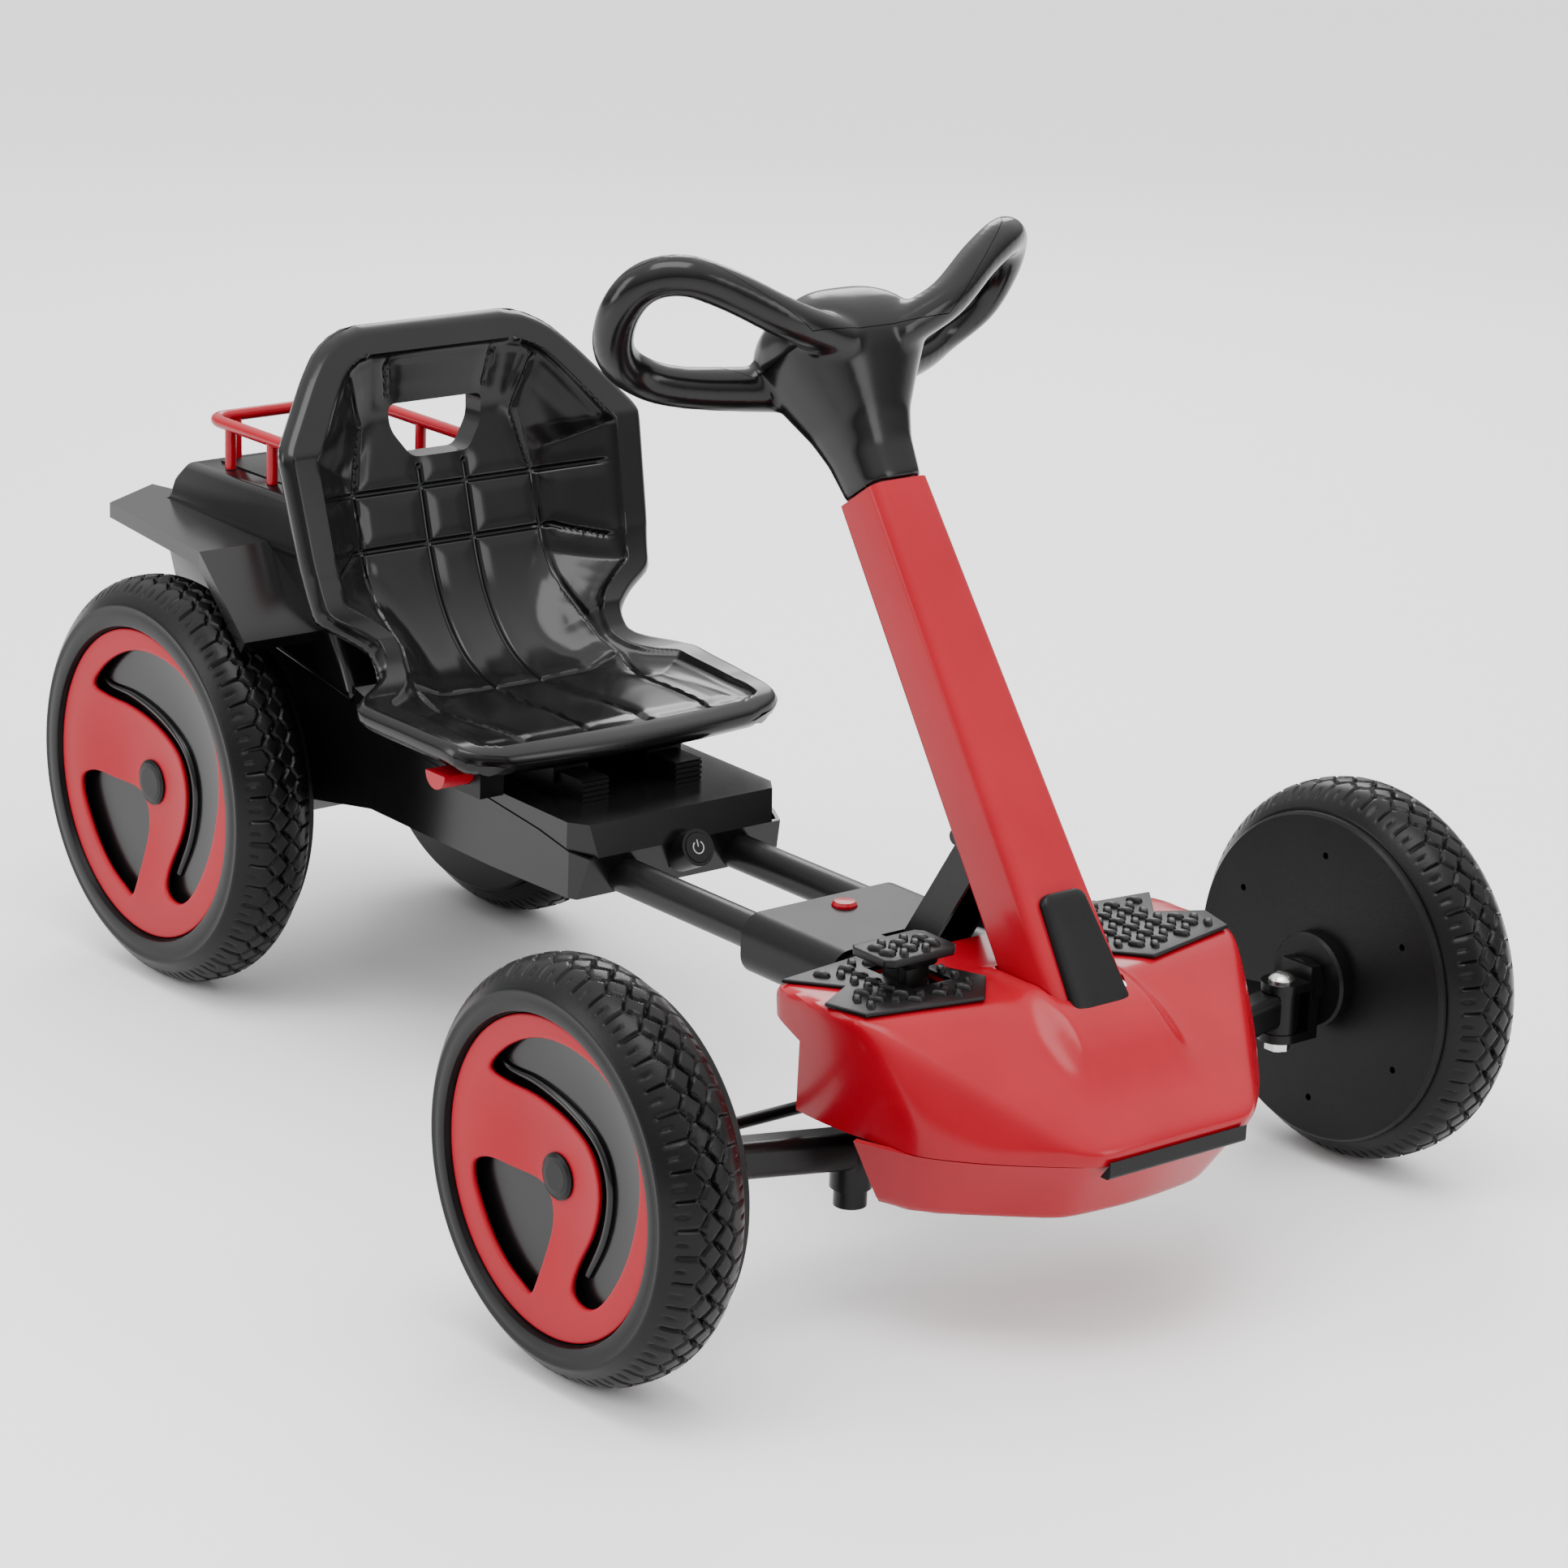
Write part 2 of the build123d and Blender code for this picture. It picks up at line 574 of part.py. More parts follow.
with BuildPart() as head_whole:
    add(head_body(0))
    add(grip_loops(LOOP_R))
    add(head_body(4), mode=Mode.SUBTRACT)
    # collar and ribs that grip the shaft
    with BuildSketch(steer_plane.offset(COLUMN_TOP + 4)):
        Circle(SHAFT_R + 4)
        Rectangle(44, 4)
    extrude(amount=72)
    with BuildSketch(steer_plane.offset(COLUMN_TOP)):
        Circle(SHAFT_R)
    extrude(amount=SHAFT_TOP - COLUMN_TOP, mode=Mode.SUBTRACT)

for name, mode in (("lower", Mode.SUBTRACT), ("upper", Mode.INTERSECT)):
    with BuildPart() as head_half:
        add(head_whole.part)
        add(above_part_line(), mode=mode)
    finish(head_half, f"head_{name}")

# ---------------------------------------------------------------- brace, connector and fore-aft lock
BRACE_FOOT = (fwd(-86), 205)         # a point on the brace's rear face, and another near its top
BRACE_HEAD = (fwd(-27), 297)
BRACE_W = 36
BRACE_H = 26

with BuildPart() as brace_strut:
    run_x, run_z = BRACE_HEAD[0] - BRACE_FOOT[0], BRACE_HEAD[1] - BRACE_FOOT[1]
    brace_len = (run_x ** 2 + run_z ** 2) ** 0.5
    along = Vector(run_x / brace_len, 0, run_z / brace_len)
    brace_plane = Plane(origin=(BRACE_FOOT[0], 0, BRACE_FOOT[1]), x_dir=(0, 1, 0), z_dir=along)
    with BuildSketch(brace_plane.offset(-30)):
        with Locations((0, -BRACE_H / 2)):
            Rectangle(BRACE_W, BRACE_H)
        with Locations((0, -BRACE_H / 2 - 3)):
            Rectangle(BRACE_W - 6, BRACE_H, mode=Mode.SUBTRACT)
    extrude(amount=brace_len + 40)
    for side in (1, -1):
        with BuildSketch(Plane(origin=(fwd(-29), side * BRACE_W / 2, 296), x_dir=(1, 0, 0),
                               z_dir=(0, side, 0))):
            Circle(5.5)
        extrude(amount=3)
    with BuildSketch(Plane.XY.offset(TUBE_Z + 3)):
        with Locations((BRACE_FOOT[0], 0)):
            Rectangle(200, 200)
    extrude(amount=-100, mode=Mode.SUBTRACT)
    add(column_solid(COLUMN_LOW, COLUMN_TOP, 0), mode=Mode.SUBTRACT)
    add(steer_box(120, (-120, 0), COLUMN_LOW, COLUMN_TOP), mode=Mode.SUBTRACT)
finish(brace_strut, "brace_strut")

BLOCK_X = (fwd(-190), fwd(-90))
BUTTON = (fwd(-165), 205)
BUTTON_R = 9
with BuildPart() as connector_block:
    with BuildSketch(Plane(origin=(BLOCK_X[0], 0, 0), x_dir=(0, 1, 0), z_dir=(1, 0, 0))):
        with Locations((0, 182.5)):
            RectangleRounded(148, 45, 17)
    extrude(amount=BLOCK_X[1] - BLOCK_X[0])
    chamfer(connector_block.edges().group_by(Axis.X)[0], 2)
    for side in (1, -1):
        tube_face = Plane(origin=(BLOCK_X[0], side * TUBE_Y, TUBE_Z), x_dir=(0, 1, 0), z_dir=(1, 0, 0))
        with BuildSketch(tube_face):
            Circle(TUBE_R + GAP)
        extrude(amount=BLOCK_X[1] - BLOCK_X[0], mode=Mode.SUBTRACT)
        with BuildSketch(tube_face.offset(SLEEVE[0] - BLOCK_X[0])):
            Circle(SLEEVE_R)
        extrude(amount=BLOCK_X[1] - SLEEVE[0], mode=Mode.SUBTRACT)
    with BuildSketch(Plane.XY.offset(170)):
        with Locations((fwd(-96), 0)):
            Rectangle(14, BRACE_W + 1)
    extrude(amount=40, mode=Mode.SUBTRACT)
    # hollow between the tubes, and the button's stepped hole in the top
    with BuildSketch(Plane.XY.offset(155)):
        with Locations((fwd(-143), 0)):
            Rectangle(76, 62)
    extrude(amount=28, mode=Mode.SUBTRACT)
    with BuildSketch(Plane.XY.offset(180)):
        with Locations((BUTTON[0], 0)):
            Circle(BUTTON_R + 3.4)
    extrude(amount=18, mode=Mode.SUBTRACT)
    with BuildSketch(Plane.XY.offset(190)):
        with Locations((BUTTON[0], 0)):
            Circle(BUTTON_R + GAP)
    extrude(amount=20, mode=Mode.SUBTRACT)
finish(connector_block, "connector_block")

with BuildPart() as frame_button:
    with BuildSketch(Plane(origin=(BUTTON[0], 0, 0), x_dir=(1, 0, 0), z_dir=(0, -1, 0))):
        Polygon((0, 190), (BUTTON_R + 3, 190), (BUTTON_R + 3, 197.5), (BUTTON_R, 197.5), (BUTTON_R, 206.5),
                (BUTTON_R - 1.5, 208.5), (0, 209), align=None)
    revolve(axis=Axis((BUTTON[0], 0, 0), (0, 0, 1)))
finish(frame_button, "frame_button")

# ---------------------------------------------------------------- nose
NOSE_WALL = 3
SKIRT_Z = 85
NOSE_MID = (fwd(60), 0, 170)


def trim(piece, a, b, c):
    """Cut a piece by the plane through three points; the side with the nose's middle stays."""
    normal = (Vector(*b) - Vector(*a)).cross(Vector(*c) - Vector(*a)).normalized()
    if (Vector(*NOSE_MID) - Vector(*a)).dot(normal) > 0:
        normal = normal * -1
    return split(piece, bisect_by=Plane(origin=a, z_dir=normal), keep=Keep.BOTTOM)


def nose_solid():
    """Faceted body of the nose above its seam."""
    with BuildPart() as block:
        with BuildSketch(Plane.XY.offset(SEAM_Z)) as outline:
            Polygon(*mirrored([(fwd(181), 60), (fwd(179), 68), (fwd(134), 125), (fwd(84), 166),
                               (fwd(50), 171), (fwd(22), 178), (fwd(-34), 171), (fwd(-47), 76)]),
                    align=None)
        extrude(outline.sketch, amount=PAD_Z - SEAM_Z)
    piece = block.part
    piece = trim(piece, (fwd(74), 78, 220), (fwd(74), -78, 220), (fwd(184), 0, 146))
    for s in (1, -1):
        piece = trim(piece, (fwd(74), s * 78, 220), (fwd(56), s * 170, 219), (fwd(184), s * 69, 146))
        piece = trim(piece, (fwd(56), s * 170, 219), (fwd(82), s * 165, 162), (fwd(184), s * 69, 146))
        piece = trim(piece, (fwd(82), s * 165, 162), (fwd(184), s * 69, 146), (fwd(178.5), s * 64, 136))
        piece = trim(piece, (fwd(55), s * 171, 205), (fwd(20), s * 177, 205), (fwd(20), s * 165, 136))
    return trim(piece, (fwd(184), 69, 146), (fwd(184), -69, 146), (fwd(179), 0, 136))


NOSE = nose_solid()
with BuildPart() as nose_cover:
    add(NOSE)
    offset(amount=-NOSE_WALL, openings=nose_cover.faces().sort_by(Axis.Z)[0])
    # the flanks end higher behind the axle, where the cover reaches back as two prongs
    with BuildSketch(Plane.XZ) as low_rear:
        Polygon((fwd(-60), 130), (fwd(-14), 130), (fwd(-8), 188), (fwd(-34), 199), (fwd(-60), 199),
                align=None)
    extrude(low_rear.sketch, amount=200, both=True, mode=Mode.SUBTRACT)
    # openings for the column, the sleeves with the brace, and the pedal
    add(column_solid(COLUMN_LOW, COLUMN_TOP, -1), mode=Mode.SUBTRACT)
    with BuildSketch(Plane.XY.offset(190)):
        with Locations((fwd(-45), 0)):
            Rectangle(30, 142)
    extrude(amount=40, mode=Mode.SUBTRACT)
    with BuildSketch(Plane.XY.offset(190)):
        with Locations((fwd(8), -88)):
            Rectangle(46, 34)
    extrude(amount=40, mode=Mode.SUBTRACT)
finish(nose_cover, "nose_cover")


SKIRT_LOW = [(146, 0), (139, 64), (82, 134), (54, 146), (42, 147)]
SKIRT_HIGH = [(179.5, 0), (178.5, 64), (134, 122), (82, 162), (42, 165)]


def skirt_solid(bottom, inset):
    """Bowl under the nose's seam, from a height up to the seam."""
    faces = []
    for z in (bottom, SEAM_Z):
        part_way = (z - SKIRT_Z) / (SEAM_Z - SKIRT_Z)
        ring = [(fwd(a + (c - a) * part_way), b + (d - b) * part_way)
                for (a, b), (c, d) in zip(SKIRT_LOW, SKIRT_HIGH)]
        with BuildSketch(Plane.XY.offset(z)) as level:
            Polygon(*(ring + [(x, -y) for x, y in reversed(ring[1:])]), align=None)
            if inset:
                offset(amount=-inset, kind=Kind.INTERSECTION)
        faces.append(level.sketch)
    with BuildPart() as bowl:
        loft(sections=faces, ruled=True)
    return bowl.part


SKIRT = skirt_solid(SKIRT_Z, 0)
with BuildPart() as nose_skirt:
    add(SKIRT)
    add(skirt_solid(SKIRT_Z + NOSE_WALL, NOSE_WALL), mode=Mode.SUBTRACT)
    with BuildSketch(Plane.XY.offset(SKIRT_Z + NOSE_WALL)):
        with Locations((fwd(42), 0)):
            Rectangle(20, 280)
    extrude(amount=60, mode=Mode.SUBTRACT)
finish(nose_skirt, "nose_skirt")

with BuildPart() as nose_strip:
    with Locations((fwd(NOSE_TIP - 9), 0, 135)):
        Box(18, 122, 15)
    fillet(nose_strip.edges().filter_by(Axis.Y).sort_by(Axis.X)[-2:], 3)
    add(NOSE, mode=Mode.SUBTRACT)
    add(SKIRT, mode=Mode.SUBTRACT)
finish(nose_strip, "nose_strip")

PAD_OUTLINE = [(70, 76), (52, 162), (20, 171), (2, 139), (-31, 166), (-42, 77), (-29, 74), (38, 47)]
PAD_T = 3
for name, side in (("left", 1), ("right", -1)):
    with BuildPart() as foot_pad:
        with BuildSketch(Plane.XY.offset(PAD_Z)):
            Polygon(*[(fwd(x), side * y) for x, y in PAD_OUTLINE], align=None)
        extrude(amount=PAD_T)
        if side < 0:
            with BuildSketch(Plane.XY.offset(PAD_Z)):
                with Locations((fwd(8), -88)):
                    Rectangle(46, 34)
            extrude(amount=PAD_T, mode=Mode.SUBTRACT)
    finish(foot_pad, f"foot_pad_{name}")

PEDAL_Z = 240
with BuildPart() as pedal:
    with BuildSketch(Plane.XY.offset(PEDAL_Z)):
        with Locations((fwd(12), -97)):
            RectangleRounded(42, 62, 6)
    extrude(amount=7)
    with BuildSketch(Plane(origin=(0, -74, 0), x_dir=(1, 0, 0), z_dir=(0, -1, 0))):
        Polygon((fwd(-9), PEDAL_Z + 1), (fwd(-9), 213), (fwd(-38), 194), (fwd(-38), 176), (fwd(10), 197),
                (fwd(18), 208), (fwd(18), PEDAL_Z + 1), align=None)
        with Locations(PEDAL_PIVOT):
            Circle(9)
    extrude(amount=28)
    with BuildSketch(Plane(origin=(0, -73, 0), x_dir=(1, 0, 0), z_dir=(0, -1, 0))):
        with Locations(PEDAL_PIVOT):
            Circle(4 + RUN)
    extrude(amount=30, mode=Mode.SUBTRACT)
finish(pedal, "pedal")

# ---------------------------------------------------------------- rear frame: tubes, base, housing
TUBES = (fwd(-580), fwd(-95))
with BuildPart() as main_tubes:
    for side in (1, -1):
        with BuildSketch(Plane(origin=(TUBES[0], side * TUBE_Y, TUBE_Z), x_dir=(0, 1, 0), z_dir=(1, 0, 0))):
            Circle(TUBE_R)
            Circle(TUBE_R - 1.5, mode=Mode.SUBTRACT)
        extrude(amount=TUBES[1] - TUBES[0])
finish(main_tubes, "main_tubes")

BASE_HALF = 95
DECK_Z = 386
BASE_WALL = 3
POWER = (fwd(-332), 202)             # centre of the power button's face
POWER_TILT = 25


def side_solid(points, half):
    """Solid with this outline seen from the side (x, z), reaching half to the left and the right."""
    with BuildPart() as solid:
        with BuildSketch(Plane.XZ) as outline:
            Polygon(*[(fwd(x), z) for x, z in points], align=None)
        extrude(outline.sketch, amount=half, both=True)
    return solid.part


def plan_solid(points, low, high):
    """Solid with this half outline seen from above (x, y), mirrored, between two heights."""
    with BuildPart() as solid:
        with BuildSketch(Plane.XY.offset(low)) as outline:
            Polygon(*mirrored([(fwd(x), y) for x, y in points]), align=None)
        extrude(outline.sketch, amount=high - low)
    return solid.part


def common(a, b):
    with BuildPart() as shared:
        add(a)
        add(b, mode=Mode.INTERSECT)
    return shared.part


power_plane = Plane(origin=(POWER[0], 0, POWER[1]), x_dir=(0, 1, 0),
                    z_dir=(cos(radians(POWER_TILT)), 0, sin(radians(POWER_TILT))))


def power_barrel(radius, depth):
    with BuildPart() as barrel:
        with BuildSketch(power_plane) as face:
            Circle(radius)
        extrude(face.sketch, amount=-depth)
    return barrel.part


def tube_holes(radius):
    with BuildPart() as holes:
        for side in (1, -1):
            with Locations(Location((fwd(-465), side * TUBE_Y, TUBE_Z), (0, 90, 0))):
                Cylinder(radius, 250)
    return holes.part


SEAM_LINE = [(-346, 204), (-400, 214), (-560, 232), (-640, 250), (-893, 290)]
TRAY_SIDE = [(-355, 172), (-459, 170), (-615, 172), (-717, 155), (-752, 128), (-840, 128), (-880, 165)]
with BuildPart() as base_tray:
    add(side_solid(SEAM_LINE + TRAY_SIDE[::-1], BASE_HALF))
    add(plan_solid([(-346, 88), (-362, BASE_HALF), (-900, BASE_HALF)], 100, 320), mode=Mode.INTERSECT)
    offset(amount=-BASE_WALL, openings=base_tray.faces().filter_by(lambda f: f.normal_at().Z > 0.5))
    add(tube_holes(TUBE_R), mode=Mode.SUBTRACT)
    add(power_barrel(14, 26), mode=Mode.SUBTRACT)
    for side in (1, -1):
        with Locations((REAR_X + 12, side * BASE_HALF, REAR_R + 4)):
            Box(96, 20, 70, mode=Mode.SUBTRACT)
finish(base_tray, "base_tray")

COVER_TOP = [(-352, 228), (-500, 230), (-560, 238), (-640, 262)]
COVER_INNER = [(-355, 195), (-355, 225), (-500, 227), (-559, 235), (-650, 262), (-650, 230)]
with BuildPart() as base_cover:
    add(side_solid(SEAM_LINE[:4] + COVER_TOP[::-1], BASE_HALF - 1))
    add(plan_solid([(-346, 80), (-366, BASE_HALF - 1), (-640, BASE_HALF - 1)], 190, 300), mode=Mode.INTERSECT)
    add(common(side_solid(COVER_INNER, BASE_HALF - 1 - BASE_WALL),
               plan_solid([(-355, 77), (-369, 91), (-650, 91)], 190, 300)), mode=Mode.SUBTRACT)
    add(power_barrel(14, 26), mode=Mode.SUBTRACT)
finish(base_cover, "base_cover")

HOUSING_SIDE = [(-640, 250), (-893, 290), (-905, 318), (-905, 372), (-893, DECK_Z), (-716, DECK_Z),
                (-694, 318), (-664, 276), (-640, 262)]


HOUSING_INNER = [(-630, 230), (-892, 280), (-902, 320), (-902, 371), (-891.5, DECK_Z - 3), (-718, DECK_Z - 3),
                 (-697, 318), (-667, 273), (-630, 256)]


def housing_solid(outline, inset):
    """Housing of the back end; its flanks lean in above their shoulder."""
    body = side_solid(outline, 98 - inset)
    for s in (1, -1):
        body = split(body, bisect_by=Plane(origin=(0, s * (98 - inset), 352), z_dir=(0, s * 0.93, 0.36)),
                     keep=Keep.BOTTOM)
    return body


HOUSING = housing_solid(HOUSING_SIDE, 0)
HOUSING_HOLLOW = housing_solid(HOUSING_INNER, BASE_WALL)
PANEL = (142, 126)
with BuildPart() as rear_housing:
    add(HOUSING)
    add(HOUSING_HOLLOW, mode=Mode.SUBTRACT)
    with Locations((fwd(-806), 0, DECK_Z)):
        Box(*PANEL, 3, mode=Mode.SUBTRACT)
    # standoffs under the deck for the control board
    with BuildSketch(Plane.XY.offset(DECK_Z - BASE_WALL)):
        with Locations((fwd(-806), 0)):
            with GridLocations(64, 44, 2, 2):
                Circle(3.5)
    extrude(amount=-14)
finish(rear_housing, "rear_housing")

with BuildPart() as deck_panel:
    with Locations((fwd(-806), 0, DECK_Z - 0.2)):
        Box(*PANEL, 2.6)
finish(deck_panel, "deck_panel")

with BuildPart() as control_board:
    with Locations((fwd(-806), 0, DECK_Z - BASE_WALL - 14.8)):
        Box(90, 70, 1.6)
    with Locations((fwd(-820), 10, DECK_Z - BASE_WALL - 19.6)):
        Box(22, 26, 8)
    with GridLocations(1, 18, 1, 3):
        with Locations((fwd(-780), 0, DECK_Z - BASE_WALL - 20.6)):
            Cylinder(5, 10)
finish(control_board, "control_board")

for name, side in (("left", 1), ("right", -1)):
    with BuildPart() as fender:
        add(side_solid([(-675, 300), (-755, 352), (-947, 356), (-947, 344), (-757, 340), (-682, 290)], 172))
        with BuildSketch(Plane.XY.offset(280)):
            Polygon(*[(fwd(x), side * y) for x, y in ((-675, 90), (-675, 170), (-755, 160), (-913, 144),
                                                     (-947, 84), (-905, 72))], align=None)
        extrude(amount=90, mode=Mode.INTERSECT)
        add(HOUSING, mode=Mode.SUBTRACT)
    finish(fender, f"fender_{name}")

RAIL_R = 5
RACK_Z = 421
with BuildPart() as luggage_rack:
    for side in (1, -1):
        with Locations(Location((fwd(-799), side * 70, RACK_Z), (0, 90, 0))):
            Cylinder(RAIL_R, 168)
        with Locations((fwd(-883), side * 70, RACK_Z), (fwd(-715), side * 70, RACK_Z)):
            Sphere(RAIL_R)
        with BuildSketch(Plane.XY.offset(DECK_Z)):
            with Locations((fwd(-715), side * 70), (fwd(-883), side * 45)):
                Circle(RAIL_R - 0.5)
        extrude(amount=RACK_Z - DECK_Z)
        with BuildSketch(Plane.XY.offset(DECK_Z + 1.1)):
            with Locations((fwd(-792), side * 70), (fwd(-852), side * 70)):
                Circle(RAIL_R - 0.5)
        extrude(amount=RACK_Z - DECK_Z - 1.1)
    with Locations(Location((fwd(-883), 0, RACK_Z), (90, 0, 0))):
        Cylinder(RAIL_R, 140)
finish(luggage_rack, "luggage_rack")

with BuildPart() as battery:
    with Locations((fwd(-643), 0, 208)):
        Box(94, 151, 64)
    fillet(battery.edges().filter_by(Axis.Z), 3)
    with Locations((fwd(-625), 60, 241.5), (fwd(-625), -60, 241.5)):
        Box(12, 6, 5)
finish(battery, "battery")

BEZEL = (14, 11.4)
with BuildPart() as button_bezel:
    add(power_barrel(BEZEL[0], 24))
    with BuildSketch(power_plane) as mouth:
        Circle(BEZEL[1])
    extrude(mouth.sketch, amount=-16, mode=Mode.SUBTRACT)
finish(button_bezel, "button_bezel")

with BuildPart() as power_button:
    with BuildSketch(power_plane.offset(-9.5)) as face:
        Circle(BEZEL[1] - GAP)
    extrude(face.sketch, amount=10)
finish(power_button, "power_button")

# ---------------------------------------------------------------- seat
RAIL_Y = 43                          # the seat's slide rails
PLATEAU_Z = 228
RAIL_TOP = 243.5
with BuildPart() as seat_rails:
    for side in (1, -1):
        with Locations((fwd(-480), side * RAIL_Y, (PLATEAU_Z + RAIL_TOP) / 2)):
            Box(160, 24, RAIL_TOP - PLATEAU_Z)
        # serrated front faces
        with Locations(*[(fwd(-400), side * RAIL_Y, PLATEAU_Z + 2.5 + 4 * k) for k in range(4)]):
            Box(4, 30, 1.6, mode=Mode.SUBTRACT)
    add(side_solid(SEAM_LINE[:4] + COVER_TOP[::-1], BASE_HALF), mode=Mode.SUBTRACT)
finish(seat_rails, "seat_rails")

SEAT_SIDE = [(-403, 252), (-560, 246), (-604, 262), (-640, 300), (-668, 345), (-712, 522), (-703, 530),
             (-688, 530), (-672, 527), (-618, 459), (-600, 350), (-545, 292), (-470, 280), (-408, 262)]
SEAT_INNER = [(-395, 258), (-412, 268), (-430, 273), (-545, 270), (-585, 278), (-618, 302), (-642, 345),
              (-688, 512), (-640, 560), (-395, 560)]
PAN = [(-403, 132), (-420, 148), (-545, 160), (-582, 121), (-700, 121)]
PAN_INNER = [(-395, 104), (-430, 120), (-538, 132), (-572, 93), (-700, 93)]
BACK = [(240, 121), (285, 121), (355, 160), (445, 165), (520, 96), (531, 80)]
BACK_INNER = [(240, 93), (290, 93), (360, 132), (438, 137), (504, 72)]
HAND_HOLE = [(468, 42), (425, 28)]


def front_solid(points, front, rear):
    """Solid with this half outline seen from ahead (z, y), mirrored, between two distances."""
    with BuildPart() as solid:
        with BuildSketch(Plane(origin=(fwd(rear), 0, 0), x_dir=(0, 1, 0), z_dir=(1, 0, 0))) as outline:
            Polygon(*([(y, z) for z, y in points] + [(-y, z) for z, y in reversed(points)]), align=None)
        extrude(outline.sketch, amount=front - rear)
    return solid.part


def pan_and_back(pan, back):
    """The pan's outline seen from above joined to the back's outline seen from ahead."""
    with BuildPart() as both:
        add(plan_solid(pan, 235, 300))
        add(front_solid(back, -560, -760))
    return both.part


with BuildPart() as seat_shell:
    add(side_solid(SEAT_SIDE, 170))
    add(pan_and_back(PAN, BACK), mode=Mode.INTERSECT)
    add(common(side_solid(SEAT_INNER, 170), pan_and_back(PAN_INNER, BACK_INNER)), mode=Mode.SUBTRACT)
    add(front_solid(HAND_HOLE, -560, -730), mode=Mode.SUBTRACT)
    # notch for the release button under the right edge
    with Locations((fwd(-452), -132, 244)):
        Box(28, 64, 17, mode=Mode.SUBTRACT)
finish(seat_shell, "seat_shell")

SEAT_BUTTON = (fwd(-452), 252)
with BuildPart() as seat_runners:
    for side in (1, -1):
        with Locations((fwd(-478), side * RAIL_Y, 243)):
            Box(94, 32, 16)
        with Locations((fwd(-478), side * RAIL_Y, 235 + (RAIL_TOP + GAP - 235) / 2)):
            Box(96, 24 + 2 * GAP, RAIL_TOP + GAP - 235, mode=Mode.SUBTRACT)
    # guide of the release button
    with Locations((SEAT_BUTTON[0], -113.5, 244)):
        Box(40, 21, 22)
    with BuildSketch(Plane(origin=(0, -100, 0), x_dir=(1, 0, 0), z_dir=(0, -1, 0))):
        with Locations(SEAT_BUTTON):
            Circle(12 + GAP)
    extrude(amount=30, mode=Mode.SUBTRACT)
    add(side_solid(SEAT_SIDE, 170), mode=Mode.SUBTRACT)
finish(seat_runners, "seat_runners")

with BuildPart() as seat_button:
    with BuildSketch(Plane(origin=(0, -108, 0), x_dir=(1, 0, 0), z_dir=(0, -1, 0))):
        with Locations(SEAT_BUTTON):
            Circle(12)
        with Locations((SEAT_BUTTON[0], SEAT_BUTTON[1] + 10)):
            Rectangle(30, 20, mode=Mode.SUBTRACT)
    extrude(amount=42)
finish(seat_button, "seat_button")
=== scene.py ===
from math import cos, pi, radians, sin

import bmesh
import bpy
import numpy as np
from mathutils import Matrix, Vector


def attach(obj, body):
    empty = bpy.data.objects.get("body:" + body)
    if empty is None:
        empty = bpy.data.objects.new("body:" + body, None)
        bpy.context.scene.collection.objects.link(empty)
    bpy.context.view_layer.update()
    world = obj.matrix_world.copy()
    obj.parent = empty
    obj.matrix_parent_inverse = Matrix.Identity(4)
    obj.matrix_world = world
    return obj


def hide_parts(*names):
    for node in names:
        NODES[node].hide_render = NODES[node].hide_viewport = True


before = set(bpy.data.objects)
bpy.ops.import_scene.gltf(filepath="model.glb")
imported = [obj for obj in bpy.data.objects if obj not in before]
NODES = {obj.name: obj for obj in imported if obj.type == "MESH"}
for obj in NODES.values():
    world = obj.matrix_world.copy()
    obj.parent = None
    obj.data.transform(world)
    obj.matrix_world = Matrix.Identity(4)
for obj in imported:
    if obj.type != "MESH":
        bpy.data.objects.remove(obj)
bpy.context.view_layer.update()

# Lengths below are in mm, with x measured forward from the front axle, as in the CAD.
FRONT_X = 386.5
SIDES = (("left", 1), ("right", -1))


def at(x, y, z):
    """Row-frame point in metres."""
    return Vector(((x + FRONT_X) / 1000, y / 1000, z / 1000))


